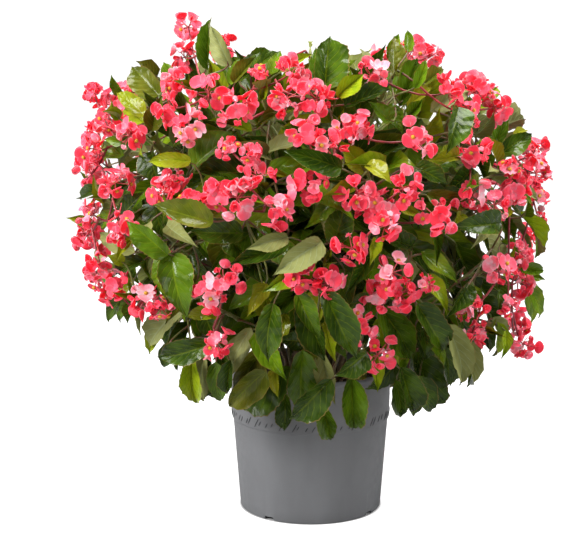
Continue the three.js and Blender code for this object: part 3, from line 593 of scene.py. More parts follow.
# What the solid model leaves out: a few large leaves that found no room, smaller ones, and more heads. Each
# set of items has a number of its own to start from, because their draws follow from it. A share is how much
# of the room that large leaves keep clear is kept clear by these.
EDGE_HEAD_START = 600
MORE_HEAD_START = 700
EDGE_START, EDGE_SHARE = 800, 0.45
GAP_START, GAP_SHARE = 850, 0.3
SMALL_START, SMALL_SHARE = 900, 0.6
MORE_START, MORE_SHARE = 1000, 0.62
TOP_START, TOP_SHARE = 1500, 0.5
TIP_START = 3000
MORE_HEADS = 60
MORE_HEADS_TOP = 670.0
MORE_LAYERS = (1.0, 0.97, 0.94, 0.91, 0.88, 0.85, 0.82, 0.79, 0.76, 0.73, 0.7)
MORE_LEAVES = 430
MORE_LEAVES_LOW = 205.0
TOP_LEAVES = 44
TOP_LAYERS = (0.95, 0.88, 0.8, 0.7)
TOP_LOW, TOP_HIGH = 670, 688
OUTER_KINDS = "DMDLMMYPMODMPLLM"
SHORT_YOUNG = 34.0
SHORT = 50.0
SPARE = 30.0
CROWDED_HEADS = MOST_HEADS + 3
LONGER_SPRAY = 210

# Heads and leaves at the near side's outline, and leaves that close gaps between its canes.
EDGE_HEADS = ((435, 54, 10), (526, 346, 12), (92, 278, 11), (540, 197, 9))
EDGE_LEAVES = (
    (528, 286, 534, 324, 28, "M"), (424, 84, 446, 70, 16, "O"), (440, 340, 450, 387, 26, "D"),
    (396, 384, 404, 418, 24, "D"), (522, 270, 545, 273, 14, "M"), (488, 330, 491, 356, 17, "P"),
    (498, 286, 496, 314, 14, "D"), (155, 75, 135, 62, 16, "O"), (216, 366, 217, 403, 14, "D"),
    (122, 92, 112, 74, 13, "M"), (466, 344, 472, 386, 18, "P"), (410, 114, 424, 100, 16, "M"),
    (262, 374, 224, 405, 26, "O"), (122, 262, 106, 256, 13, "L"), (132, 298, 118, 322, 18, "D"),
    (424, 330, 424, 356, 16, "D"), (520, 200, 532, 204, 14, "M"), (104, 158, 114, 146, 13, "D"),
    (90, 222, 66, 216, 12, "L"), (420, 380, 428, 416, 20, "D"), (500, 228, 508, 240, 12, "D"),
    (319, 82, 313, 47, 14, "M"), (416, 86, 428, 60, 14, "M"), (98, 184, 78, 172, 12, "L"),
    (497, 326, 496, 358, 22, "L"), (534, 296, 541, 322, 20, "O"), (446, 352, 449, 390, 20, "D"),
    (408, 388, 412, 420, 20, "D"), (524, 276, 546, 278, 16, "M"), (134, 306, 128, 324, 14, "D"),
    (168, 346, 162, 368, 16, "D"), (252, 74, 262, 52, 14, "D"), (232, 82, 238, 58, 14, "M"),
    (480, 326, 492, 352, 20, "D"), (390, 58, 397, 33, 14, "M"), (230, 364, 229, 397, 12, "D"),
    (272, 72, 279, 50, 14, "M"), (120, 300, 106, 322, 14, "D"), (120, 142, 104, 138, 12, "M"),
    (506, 334, 503, 360, 14, "L"), (530, 292, 541, 318, 18, "M"), (524, 214, 527, 200, 12, "M"),
    (408, 50, 409, 30, 12, "M"), (470, 366, 466, 388, 14, "D"), (535, 234, 535, 257, 12, "D"),
)
GAPS = (
    (136, 270), (146, 200), (210, 329), (486, 318), (146, 216), (136, 207), (113, 160), (479, 171),
    (492, 156), (460, 320), (472, 343), (157, 172), (192, 402), (485, 302), (160, 223), (161, 294),
    (462, 263), (470, 285), (466, 302), (500, 346), (448, 372), (456, 262), (452, 294), (420, 348),
    (428, 354), (502, 230), (497, 300), (484, 247), (413, 360), (486, 314),
)
GAP_LAYERS = (0.86, 0.8, 0.74, 0.68, 0.62, 0.9, 0.56, 0.5)

# Items left out, because their leaves would stand proud of the outline.
BARE_SPOTS = (
    1001, 1002, 1003, 1006, 1009, 1013, 1021, 1026, 1029, 1034, 1076, 1114, 1355, 1368, 1402, 1423,
    1511, 1542,
)

# Leaves inside the crown: their number, first item, lowest height, length, kinds, layers and share of room.
# The deepest set is all of the dark kind: real leaves whose dark tone also stands in as painted shade in the
# heart of the crown.
INSIDE_TOP = 600.0
INSIDE = (
    (420, 2000, 240.0, 66.0, "DM", (0.66, 0.6, 0.72, 0.54, 0.48, 0.42), 0.4),
    (200, 4000, 250.0, 80.0, "D", (0.4, 0.3, 0.5, 0.2), 0.2),
)


def edge_leaf(spot, item, layer):
    """A leaf of the near side that faces the front more than its place on the crown would have it."""
    leaf = near_leaf(spot, item, layer)
    facing = unit(leaf["base"] - HEART) + np.array([draw(item, 2) - 0.5, -1.4, 0.3])
    leaf["side"] = unit(np.cross(facing, leaf["ahead"]))
    leaf["up"] = np.cross(leaf["ahead"], leaf["side"])
    return leaf


def fill_plant(canes, room, left):
    """Adds what the outline needs, smaller leaves all round and within, and heads on the far side."""
    for item, (x, y, size) in enumerate(EDGE_HEADS, EDGE_HEAD_START):
        place_head(canes, room, item, size, lambda layer: on_crown(x, y, layer),
                   HEAD_LAYERS, CROWDED_HEADS, LONGER_SPRAY)
    for item, spot in enumerate(EDGE_LEAVES, EDGE_START):
        place_leaf(canes, room, lambda layer: edge_leaf(spot, item, layer), spot[5],
                   large=False, share=EDGE_SHARE)
    for item, (x, y) in enumerate(GAPS, GAP_START):
        spot = (x - 5, y - 17, x + 5, y + 15, 25, "D")
        place_leaf(canes, room, lambda layer: edge_leaf(spot, item, layer), spot[5], GAP_LAYERS,
                   large=False, share=GAP_SHARE)
    for turn, z, item in spots_around(MORE_HEADS, MORE_HEAD_START, FAR_TOP - 15, FAR_LOW + 20):
        if crown_point(turn, z, 1)[1] > 0 and z < MORE_HEADS_TOP:
            size = 11 + 4 * float(draw(item, 13))
            place_head(canes, room, item, size, lambda layer: crown_point(turn, z, layer),
                       HEAD_LAYERS[:4], CROWDED_HEADS, LONGER_SPRAY)
    large = [spot for spot in LEAVES if spot[4] >= LEAF_LEAST]
    small = [spot for spot in LEAVES if spot[4] < LEAF_LEAST]
    for item, spot in [(item, large[item]) for item in left] + list(enumerate(small, SMALL_START)):
        place_leaf(canes, room, lambda layer: near_leaf(spot, item, layer), spot[5], share=SMALL_SHARE)
    for turn, z, item in spots_around(MORE_LEAVES, MORE_START, FAR_TOP + 5, MORE_LEAVES_LOW):
        if item in BARE_SPOTS:
            continue
        kind = OUTER_KINDS[int(len(OUTER_KINDS) * draw(item, 14))]
        short = SHORT_YOUNG if kind == "Y" else SHORT
        first = int(3 * draw(item, 15))
        place_leaf(canes, room, lambda layer: far_leaf((turn, z, item), layer, short, SPARE), kind,
                   MORE_LAYERS[first:], large=False, share=MORE_SHARE)
    for item in range(TOP_START, TOP_START + TOP_LEAVES):
        if item in BARE_SPOTS:
            continue
        outward = math.sqrt((item - TOP_START + 0.5) / TOP_LEAVES)
        spot = ((GOLDEN_TURN * item) % 360, lerp(TOP_LOW, TOP_HIGH, float(draw(item, 16))), item)
        place_leaf(canes, room, lambda layer: far_leaf(spot, outward * layer, SHORT, SPARE),
                   OUTER_KINDS[item % len(OUTER_KINDS)], TOP_LAYERS, large=False, share=TOP_SHARE)
    for count, start, low, short, kinds, layers, share in INSIDE:
        for turn, z, item in spots_around(count, start, INSIDE_TOP, low):
            place_leaf(canes, room, lambda layer: far_leaf((turn, z, item), layer, short, SPARE),
                       kinds[item % len(kinds)], layers, large=False, share=share)


GROWN = {}


def plant():
    """The grown canes, worked out once."""
    if not GROWN:
        canes, room, left = grow_plant()
        fill_plant(canes, room, left)
        GROWN["canes"] = canes
    return GROWN["canes"]


# Meshes. A skin is a set of closed surfaces given as rings of points, each wrapped round its stations.

def skin(rings, uv, tone, paint, turned=False):
    """Flat arrays of a skin: rings (count, stations, around, 3), uv of the same grid, and one tone a surface.

    Paint is the number of the finish of each face, and ends close because their rings shrink to a point.
    Turned faces start at their second corner, so that both sides of a thin sheet bend along one diagonal.
    """
    count, stations, around = rings.shape[:3]
    number = np.arange(count * stations * around).reshape(count, stations, around)
    low, high = number[:, :-1], number[:, 1:]
    faces = np.stack([low, np.roll(low, -1, 2), np.roll(high, -1, 2), high], -1)
    faces = np.where(np.reshape(turned, (-1, 1)), np.roll(faces, -1, -1), faces)
    tone = np.asarray(tone, float).reshape(-1, 1, 1, 4)
    return {
        "points": rings.reshape(-1, 3),
        "faces": faces.reshape(-1, 4),
        "uv": np.broadcast_to(uv, (count, stations, around, 2)).reshape(-1, 2),
        "tone": np.broadcast_to(tone, (count, stations, around, 4)).reshape(-1, 4),
        "paint": np.broadcast_to(paint, (count, stations - 1, around)).reshape(-1),
    }


def across_of(heading, lean=(0.31, 0.22, 0.93)):
    """Unit vectors square to a heading, each as near to one fixed lean as it can be."""
    lean = np.broadcast_to(np.array(lean), heading.shape)
    return unit(lean - heading * (lean * heading).sum(-1, keepdims=True))


def tubes(paths, radii, sides, tone, paint, shape=None):
    """Round bars along paths (count, stations, 3): a circle of the station's radius, square to the path.

    Shape scales the radius round the circle, for ribs and wings.
    """
    heading = unit(np.gradient(paths, axis=1))
    across = across_of(heading)
    other = np.cross(heading, across)
    turn = 2 * math.pi * np.arange(sides) / sides
    reach = radii[..., None] * (np.ones(sides) if shape is None else np.asarray(shape))
    rings = (
        paths[:, :, None] + across[:, :, None] * (reach * np.cos(turn))[..., None]
        + other[:, :, None] * (reach * np.sin(turn))[..., None]
    )
    ends = [np.repeat(paths[:, end:end + 1, None], sides, 2) for end in (0, paths.shape[1] - 1)]
    rings = np.concatenate([ends[0], rings, ends[1]], 1)
    steps = np.linalg.norm(np.diff(paths, axis=1), axis=2).cumsum(1)
    length = np.concatenate([np.zeros((len(paths), 2)), steps, steps[:, -1:]], 1) / 100
    u = np.broadcast_to(np.arange(sides) / sides, rings.shape[:3])
    return skin(rings, np.stack([u, np.broadcast_to(length[..., None], u.shape)], -1), tone, paint)


def sheet_columns(columns):
    """Places across a thin sheet: over its upper side from right to left, and back along its lower side."""
    upper = np.linspace(1, -1, columns)
    t = np.concatenate([upper, upper[::-1][1:-1]])
    side = np.concatenate([np.ones(columns), -np.ones(columns - 2)])
    return t, side * (1 - np.abs(t) ** 4), np.arange(2 * columns - 2) < columns - 1


# Points that agree to a ten-thousandth of a millimetre are one.
WELD = 1e4


def build_piece(name, skins, finishes, node=None, crease=50):
    """Joins skins into one mesh in metres, with shared points welded, and hangs it on the frame."""
    counts = np.cumsum([0] + [len(part["points"]) for part in skins])
    faces = np.concatenate([part["faces"] + start for part, start in zip(skins, counts)])
    points, paint, uv, tone = (
        np.concatenate([part[key] for part in skins]) for key in ("points", "paint", "uv", "tone")
    )
    keys = np.round(points * WELD).astype(np.int64)
    _, first, place = np.unique(keys, axis=0, return_index=True, return_inverse=True)
    corners = place.ravel()[faces]
    kept = corners != np.roll(corners, -1, axis=1)
    sound = kept.sum(1) > 2
    corners, kept, faces, paint = corners[sound], kept[sound], faces[sound], paint[sound]
    totals = kept.sum(1)
    mesh = bpy.data.meshes.new(name)
    mesh.vertices.add(len(first))
    mesh.vertices.foreach_set("co", (points[first] * MM).astype(np.float32).ravel())
    mesh.loops.add(int(totals.sum()))
    mesh.loops.foreach_set("vertex_index", corners[kept].astype(np.int32))
    mesh.polygons.add(len(totals))
    mesh.polygons.foreach_set("loop_start", (np.cumsum(totals) - totals).astype(np.int32))
    mesh.polygons.foreach_set("loop_total", totals.astype(np.int32))
    mesh.polygons.foreach_set("material_index", paint.astype(np.int32))
    mesh.polygons.foreach_set("use_smooth", np.ones(len(totals), bool))
    mesh.uv_layers.new(name="Surface").data.foreach_set("uv", uv[faces[kept]].astype(np.float32).ravel())
    mesh.attributes.new("tone", "FLOAT_COLOR", "POINT").data.foreach_set(
        "color", tone[first].astype(np.float32).ravel())
    mesh.update(calc_edges=True)
    if mesh.validate():
        raise RuntimeError(name + " has faulty faces")
    mesh.set_sharp_from_angle(angle=math.radians(crease))
    for finish in finishes:
        mesh.materials.append(finish)
    piece = bpy.data.objects.new(name, mesh)
    bpy.context.scene.collection.objects.link(piece)
    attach(piece, "root")
    if node:
        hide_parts(node)
    return piece


# Leaves and stems.

# Each kind's lightness, bronze, and share of painted waxy sheen, which is a pale grey-green tint standing for
# the leaves' gloss.
KIND_TONES = {
    "D": (0.07, 0.0, 0.5), "M": (0.4, 0.0, 0.2), "L": (0.68, 0.02, 0.15),
    "Y": (0.9, 0.0, 0.0), "O": (0.26, 0.5, 0.1), "P": (0.3, 0.1, 0.4),
}
UPPER, LOWER, STALK, CANE, BRACT = range(5)
BLADE_THICK = 0.5
TEETH = 0.06
WAVY = 0.08
SWELL = 0.015
FOLDING = 0.8
SICKLE = 0.07
OLD_LEAF = 0.5
HIGH_TIP = 670
SHORTENED = 0.965


def leaf_tones(leaf):
    """How light and bronze a leaf is, its share of painted waxy sheen, and its own draw. A large green leaf
    is old, and darker.
    """
    light, bronze, painted_sheen = KIND_TONES[leaf["kind"]]
    old = leaf.get("large") and leaf["kind"] in "DM"
    return light * (OLD_LEAF if old else 1), bronze, painted_sheen, float(draw(leaf["item"], 22))


def blade_skins(leaves, stations, columns, thickness, paints=(UPPER, LOWER)):
    """Blades as thin closed sheets over the leaf's formula, with teeth at every other station of the edge.

    Between the side veins the blade swells by half sines, and its edge ripples. The tip curls down by a
    fourth power of s.
    """
    n = len(leaves)
    shaped = {key: np.array([leaf[key] for leaf in leaves], float).reshape(n, 1, 1, -1)
              for key in ("base", "ahead", "side", "up")}
    shaped.update({key: np.array([leaf[key] for leaf in leaves], float).reshape(n, 1, 1)
                   for key in ("length", "half", "hand", "fold", "arch")})
    items = np.array([leaf["item"] for leaf in leaves]).reshape(n, 1, 1)
    even = np.linspace(0, 1, stations)
    s = lerp(even, (1 - np.cos(math.pi * even)) / 2, 0.45)[None, :, None]
    t, thick, upper = sheet_columns(columns)
    phase = 6.28 * draw(items, 20)
    parity = (np.arange(stations) % 2)[None, :, None]
    rim = np.abs(t) > 0.999
    edge = 1 + np.abs(t) * WAVY * np.sin(9.4 * s + phase) + rim * TEETH * (parity - 0.5)
    bands = 7 if stations > 20 else 3
    between = np.abs(np.sin(math.pi * (bands * s - 0.24 * bands * np.abs(t))))
    swell = SWELL * between * 4 * np.abs(t) * (1 - np.abs(t))
    frill = SWELL * t**2 * np.sin(34 * s + phase + 1.7 * np.sign(t))
    droop = (0.05 + 0.07 * draw(items, 21)) * (1 - shaped["ahead"][..., 2]) / 2
    curl = (0.02 + 0.07 * draw(items, 19)) * t**4 * np.sin(math.pi * s) - droop * s**4
    s_grid, t_grid = np.broadcast_arrays(s, t[None, None, :])
    s_grid = np.broadcast_to(s_grid, (n,) + s_grid.shape[1:])
    fold = shaped["fold"]
    shaped["fold"] = fold * (1.1 + FOLDING * draw(items, 18))
    shaped["half"] = shaped["half"] * np.sqrt(np.cos(fold) / np.cos(shaped["fold"]))
    shaped["arch"] = shaped["arch"] * (1 - 0.7 * np.maximum(shaped["ahead"][..., 2], 0))
    points = blade_points(shaped, s_grid, t_grid, 0.2, edge, swell + frill + curl, 0.85)
    points = points + shaped["up"] * (0.5 * thickness * thick)[None, None, :, None]
    points = points + shaped["side"] * (shaped["hand"] * SICKLE * shaped["length"] * s**2)[..., None]
    points[:, 0] = points[:, 0, :1]
    points[:, -1] = points[:, -1, :1]
    uv = np.stack(np.broadcast_arrays((t[None, None] + 1) / 2, s), -1)
    tones = [leaf_tones(leaf) for leaf in leaves]
    turned = np.array([leaf["kind"] == "P" for leaf in leaves])[:, None, None]
    paint = np.where(upper[None, None] != turned, *paints)
    return skin(points, uv, tones, paint, ~upper)


def petiole_skins(leaves):
    """Petioles along their curves, thinning from 1.7 to 1.1 mm in radius."""
    ways = np.linspace(0, 1, 7)
    paths = np.stack([bezier(leaf["stalk"], ways) for leaf in leaves])
    radii = np.broadcast_to(lerp(1.7, 1.1, ways), paths.shape[:2])
    tones = [(KIND_TONES[leaf["kind"]][0], 0, 0, float(draw(leaf["item"], 23))) for leaf in leaves]
    return tubes(paths, radii, 6, tones, STALK)


def cane_end(cane):
    """How much of a cane's curve is drawn: a very high one ends a little short, below the leaves round it."""
    return lerp(1.0, SHORTENED, min(max((cane.tip[2] - HIGH_TIP) / 30, 0.0), 1.0))


def cane_skin(cane):
    """A cane along its curve, thinning to its tip, with a swollen ring at each leaf and at even nodes."""
    ways = np.linspace(0, 1, 90)
    path = bezier(cane.corners, ways * cane_end(cane))
    radii = lerp(4.2, 2.3, ways) * (1 - 0.6 * np.maximum(0, ways / 0.05 - 19))
    nodes = list(np.linspace(0.2, 0.97, 9))
    for leaf in cane.leaves:
        if leaf["on_cane"] and leaf["large"]:
            nodes.append(ways[np.argmin(np.linalg.norm(path - leaf["seat"], axis=1))])
    swell = np.exp(-((ways[:, None] - np.array(nodes)[None]) / 0.008) ** 2).max(1)
    return tubes(path[None], (radii + 0.9 * swell)[None], 10, [(0.3, 0, 0, 0.07 * cane.number % 1)], CANE)


def bracts_of(cane):
    """Small papery bracts that clasp the cane where its leaves stand."""
    bracts = []
    for leaf in cane.leaves:
        if not (leaf["on_cane"] and leaf["large"]):
            continue
        away = unit(leaf["stalk"][1] - leaf["seat"])
        tip = leaf["seat"] + 15 * away + np.array([0, 0, 5.0])
        bract = leaf_frame(leaf["seat"] + 1.5 * away, tip, 7.0, leaf["item"] + 50)
        bract.update(kind="O", fold=0.9)
        bracts.append(bract)
    return bracts


def tip_leaves(cane):
    """The two youngest leaves at the end of a cane."""
    ahead = unit(cane.joints[-1] - cane.joints[-2])
    aside = across_of(ahead)
    end = cane_end(cane)
    seat = bezier(cane.corners, [end])[0]
    high = end < 1
    found = []
    for hand in (-1, 1):
        item = TIP_START + 2 * cane.number + hand
        reach = 11 if high else 26 + 16 * float(draw(item, 24))
        tip = seat + reach * unit(0.8 * ahead + hand * 0.5 * aside + np.array([0, 0, 0.25]))
        leaf = leaf_frame(seat, tip, 5.0 if high else 14.0, item)
        leaf.update(kind="Y" if draw(item, 25) < 0.6 else "L", fold=0.7)
        found.append(leaf)
    return found


def stem_skins(cane, thickness):
    """All the skins of one leafy stem."""
    large = [leaf for leaf in cane.leaves if leaf["large"]]
    small = [leaf for leaf in cane.leaves if not leaf["large"]]
    bracts = bracts_of(cane)
    skins = [cane_skin(cane), blade_skins(tip_leaves(cane), 12, 5, thickness)]
    if cane.leaves:
        skins.append(petiole_skins(cane.leaves))
    if large:
        skins.append(blade_skins(large, 30, 9, thickness))
    if small:
        skins.append(blade_skins(small, 11, 5, thickness))
    if bracts:
        skins.append(blade_skins(bracts, 6, 3, thickness, (BRACT, BRACT)))
    return skins


# Flowers.

PETAL, STAMENS, PEDUNCLE = range(3)
FLOWERS = 9
BUDDED = 0.14
WIDE = 0.5
MALE = 0.68
PETAL_V = np.array([0.0, 0.12, 0.34, 0.6, 0.82, 0.95, 1.0])
NARROW_V = np.array([0.0, 0.25, 0.7, 0.92, 1.0])


def petal_skins(centre, face, spread, length, half, opened, bend, cup, tone, places, columns):
    """Petals as thin closed sheets: v runs outward from the flower's middle and t across.

    The direction turns from the opening angle by the petal's own bend in v, the half width is a low power
    of a sine of a power of v, and the edges rise by the cup times t squared.
    """
    shape = (len(length), 1, 1)
    t, thick, upper = sheet_columns(columns)
    v, t = places[None, :, None], t[None, None, :]
    across = np.cross(face, spread)
    angle = opened.reshape(shape) + bend.reshape(shape) * (v - 0.5)
    cosine, sine = np.cos(angle)[..., None], np.sin(angle)[..., None]
    face, spread, across = (w[:, None, None] for w in (face, spread, across))
    out = face * cosine + spread * sine
    normal = face * sine - spread * cosine
    width = half.reshape(shape) * np.maximum(np.sin(math.pi * v**0.9), 0) ** 0.55
    cup, length = cup.reshape(shape), length.reshape(shape)
    lift = cup * t**2 * width + 0.06 * length * np.sin(2.4 * t + 9 * cup) * v
    lift = lift + 0.3 * thick[None, None]
    points = (
        centre[:, None, None] + out * (length * v)[..., None]
        + across * (width * t)[..., None] + normal * lift[..., None]
    )
    points[:, 0] = points[:, 0, :1]
    points[:, -1] = points[:, -1, :1]
    uv = np.stack(np.broadcast_arrays((t + 1) / 2, v), -1)
    return skin(points, uv, tone, PETAL, ~upper)


def flowers_of(heads):
    """The flowers of some heads: each stands off its hub along the golden angle on a cap round the axis."""
    hub, axis = (np.array([head[key] for head in heads])[:, None] for key in ("hub", "axis"))
    r = np.array([head["r"] for head in heads])[:, None]
    item = np.array([head["item"] for head in heads])[:, None]
    k = np.arange(FLOWERS)[None]
    tilt = np.radians(12 + 98 * np.sqrt((k + 0.5) / FLOWERS)) + 0.35 * (draw(item + 31 * k, 30) - 0.5)
    turn = np.radians(137.5) * k + 6.28 * draw(item, 31) + 0.5 * (draw(item + 17 * k, 32) - 0.5)
    across = across_of(axis)
    other = np.cross(axis, across)
    away = (
        axis * np.cos(tilt)[..., None] + across * (np.sin(tilt) * np.cos(turn))[..., None]
        + other * (np.sin(tilt) * np.sin(turn))[..., None]
    )
    reach = r * (0.5 + 0.4 * draw(item + 13 * k, 33))
    jitter = np.stack([draw(item + 7 * k, p) - 0.5 for p in (34, 35, 36)], -1)
    face = unit(0.8 * away + 0.45 * axis + 1.1 * jitter + np.array([0, 0, -0.18]))
    spread = across_of(face, (0.5, 0.6, 0.62))
    roll = (6.28 * draw(item + 5 * k, 37))[..., None]
    spread = spread * np.cos(roll) + np.cross(face, spread) * np.sin(roll)
    size = np.minimum(15.0, 0.7 * r) * (0.74 + 0.46 * draw(item + 3 * k, 38))
    open_share = draw(item + 11 * k, 39)
    wide = np.broadcast_to(hub, away.shape)
    flat = {
        "hub": wide, "centre": hub + away * reach[..., None], "face": face, "spread": spread, "size": size,
        "open": open_share, "light": draw(item + 19 * k, 40), "sex": draw(item + 23 * k, 41),
    }
    return {key: value.reshape(-1, *value.shape[2:]) for key, value in flat.items()}


def flower_skins(heads):
    """Two large round petals that face each other, two small ones between, stamens, ovary and pedicel."""
    flower = flowers_of(heads)
    n = len(flower["size"])
    budded = flower["open"] < BUDDED
    wide = flower["open"] > WIDE
    light = flower["light"]
    petals = []
    for quarter in range(4):
        main = quarter % 2 == 0
        turn = quarter * math.pi / 2
        square = np.cross(flower["face"], flower["spread"])
        spread = flower["spread"] * math.cos(turn) + square * math.sin(turn)
        size = flower["size"] * np.where(budded, 0.55, 1.0)
        opened = np.where(budded, 0.12, np.where(wide, lerp(0.95, 1.55, flower["sex"]), 0.5))
        bend = np.where(budded, 0.3, lerp(-0.9, 0.5, draw(flower["sex"], 51)))
        cup = np.where(budded, 0.8, 0.16 + 0.2 * light)
        inner = np.full(n, 0.0 if main else 0.5)
        tone = np.stack([light, inner, flower["open"], draw(np.arange(n), 50)], 1)
        petals.append(petal_skins(
            flower["centre"], flower["face"], spread, size * (1.0 if main else 0.8),
            size * (0.64 if main else 0.3), opened - (0 if main else 0.1), bend, cup, tone,
            *((PETAL_V, 5) if main else (NARROW_V, 3)),
        ))
    ways = np.array([0.0, 0.35, 0.7, 1.0])[None, :, None]
    centre, face, hub = (flower[key][:, None] for key in ("centre", "face", "hub"))
    pedicel = lerp(hub, centre - 1.5 * face, ways) - face * (6 * ways * (1 - ways))
    grey = np.zeros((n, 4))
    grey[:, 3] = light
    skins = petals + [tubes(pedicel, np.full((n, 4), 0.75), 4, grey, PEDUNCLE)]
    male = wide & (flower["sex"] > MALE)
    if male.any():
        path = centre[male] + face[male] * np.array([-0.5, 1.2, 2.8, 4.2])[None, :, None]
        radii = np.broadcast_to(np.array([1.2, 2.8, 3.0, 1.6]), path.shape[:2])
        skins.append(tubes(path, radii, 6, grey[male], STAMENS))
    female = wide & ~male
    if female.any():
        path = centre[female] + face[female] * np.array([-9.0, -6.0, -2.0, 0.3])[None, :, None]
        radii = np.broadcast_to(np.array([0.9, 4.6, 4.2, 1.0]), path.shape[:2])
        tone = np.stack([light, np.full(n, 0.2), light, light], 1)[female]
        skins.append(tubes(path, radii, 6, tone, PETAL, (1, 0.3, 1, 0.3, 1, 0.3)))
    return skins


def stalk_skins(cane):
    """The peduncle from the cane to its fork, and a branch to each hub, sagging more where it is long."""
    root, fork = cane.smooth(cane.socket), cane.fork
    ways = np.linspace(0, 1, 6)[None, :, None]
    starts = np.array([head["start"] for head in cane.heads])[:, None]
    hubs = np.array([head["hub"] for head in cane.heads])[:, None]
    trunk = lerp(root, fork, ways[0])[None]
    far = np.linalg.norm(hubs - starts, axis=-1, keepdims=True)
    sag = 0.3 + 0.3 * np.clip((far - 80) / 40, 0, 1)
    branches = lerp(starts, hubs, ways) - np.array([0, 0, 1]) * sag * far * ways * (1 - ways)
    tone = np.zeros((len(branches), 4))
    radii = np.broadcast_to([1.7, 1.6, 1.5, 1.4, 1.3, 0.7], branches.shape[:2])
    return [
        tubes(trunk, np.array([[0.9, 1.8, 2, 2, 2, 2]]), 8, tone[:1], PEDUNCLE),
        tubes(branches, radii, 7, tone, PEDUNCLE),
    ]


# Pot and potting mix.

POT_SIDES = 180
NOTCH_START = -125.6
NOTCH_WIDTH = 17.0
NOTCH_TOP = 5.4
DRAIN_R = 7.0
DRAIN_RING = 62.0
FOOT_R = 104.0
FLOOR_R = 106.0
FLOOR_LOW, FLOOR_TOP = 7.0, 9.4
WALL_PROFILE = (
    (99, 7), (99, 0.6), (99.6, 0), (105, 0), (107.2, 0.8), (108, 2.4), (109.4, 21), (112.4, 61), (115.5, 101),
    (118.4, 139), (118.9, 140.2), (120.1, 141.3), (120.6, 142.6), (121.1, 165), (121.6, 190), (122, 209.5),
    (122.3, 211.2), (122.9, 212.2), (123.1, 214), (123.1, 216.6), (122.4, 218.4), (121, 219), (119.6, 218.9),
    (118.8, 218), (118.6, 215), (118.5, 205), (118.1, 160), (117.9, 142), (116, 140), (106.5, 10), (99, 9.4),
)


def lathe_skin(profile, turns, paint=0, raised=None):
    """A profile of radius and height carried round the axis. Raised lifts its points where they stand."""
    profile = np.array(profile, float)
    r, z, turns = np.broadcast_arrays(profile[:, :1], profile[:, 1:], turns[None])
    if raised is not None:
        z = raised(r, z, turns)
    rings = np.stack([r * np.cos(turns), r * np.sin(turns), z], -1)[None]
    uv = np.stack([turns / 6.2832, z / 200], -1)[None]
    return skin(rings, uv, [(0, 0, 0, 0)], paint)


def notched(r, z, turns):
    """Foot points inside one of the four notches stand at the notch's top."""
    quarter = math.pi / 2
    off = (turns - math.radians(NOTCH_START) + quarter / 2) % quarter - quarter / 2
    inside = (np.abs(off) * r < NOTCH_WIDTH / 2) & (r > 98)
    return np.where(inside, np.maximum(z, NOTCH_TOP), z)


def pot_turns():
    """Even turns round the pot, with a pair at each side of each notch, so that its walls stand upright."""
    half = NOTCH_WIDTH / 2 / FOOT_R
    sides = [math.radians(NOTCH_START + 90 * i) + hand * (half + slip)
             for i in range(4) for hand in (-1, 1) for slip in (-0.002, 0.002)]
    even = np.linspace(0, 2 * math.pi, POT_SIDES, endpoint=False)
    return np.unique(np.round(np.concatenate([even, np.array(sides) % (2 * math.pi)]), 6))


def floor_skins():
    """The pot's floor as four quarters, each a ring from a drain hole out to the quarter's outline."""
    corner = FLOOR_R * math.sqrt(0.5)
    mark = math.atan2(corner, corner - DRAIN_RING)
    u = np.sort(np.concatenate([np.linspace(-math.pi, math.pi, 40, endpoint=False), [mark, -mark]]))
    c, s = np.cos(u), np.sin(u)
    to_arc = -DRAIN_RING * c + np.sqrt((DRAIN_RING * c) ** 2 + FLOOR_R**2 - DRAIN_RING**2)
    slope = np.abs(s) - c
    to_line = np.where(slope > 1e-9, DRAIN_RING / np.maximum(slope, 1e-9), 1e9) + 0.05
    far = np.minimum(to_arc, to_line)
    hole = np.full_like(far, DRAIN_R)
    section = ((far, FLOOR_LOW), (hole, FLOOR_LOW), (hole, FLOOR_TOP), (far, FLOOR_TOP), (far, FLOOR_LOW))
    rings = np.stack([
        np.stack([DRAIN_RING + reach * c, reach * s, np.full_like(u, z)], -1) for reach, z in section
    ])
    found = []
    for i in range(4):
        turn = math.radians(NOTCH_START + 90 * i)
        spun = rings.copy()
        spun[..., 0] = rings[..., 0] * math.cos(turn) - rings[..., 1] * math.sin(turn)
        spun[..., 1] = rings[..., 0] * math.sin(turn) + rings[..., 1] * math.cos(turn)
        uv = np.broadcast_to(np.array([0.5, 0.02]), spun.shape[:2] + (2,))[None]
        found.append(skin(spun[None, :, ::-1], uv, [(0, 0, 0, 0)], 0))
    return found


TICKS = 72
TICK_Z = 150.0
BAND_R, BAND_LOW = 120.65, 142


def tick_skin(count):
    """Plain slanted ticks in a band round the pot: low ridges in pairs, each at its own height and length."""
    k = np.arange(count)
    turn = 2 * math.pi * (k + 0.3 * (k % 2) + 0.35 * draw(k, 70)) / count
    tall = (2.8 + 4.0 * draw(k, 71) ** 1.5)[:, None]
    ways = np.linspace(-1, 1, 5)[None]
    z = TICK_Z + tall * ways + (3.5 * (draw(k, 72) - 0.5))[:, None]
    angle = turn[:, None] + 0.034 * tall / 7 * ways
    r = BAND_R + (z - BAND_LOW) * 0.02
    paths = np.stack([r * np.cos(angle), r * np.sin(angle), z], -1)
    radii = np.broadcast_to(np.array([0.4, 0.8, 0.9, 0.8, 0.4]), z.shape)
    return tubes(paths, radii, 6, np.zeros((count, 4)), 0)


CHIPS = 420
MIX_R = 116
MIX_EDGE_Z = 190.8
MIX_DOME = 5
LUMPS_FADE = 12


def lumps(x, y):
    """Small hills of the potting mix: a sum of crossed sines at four scales."""
    height = 1.8 * np.sin(x / 17 + 1) * np.cos(y / 19) + 1.2 * np.sin(x / 7.3 + y / 11)
    height += 0.9 * np.sin(x / 3.9 - y / 4.3 + 2) + 0.6 * np.cos(x / 2.3 + 1) * np.sin(y / 2.1)
    return height + 0.4 * np.sin(x / 1.3 + y / 1.1)


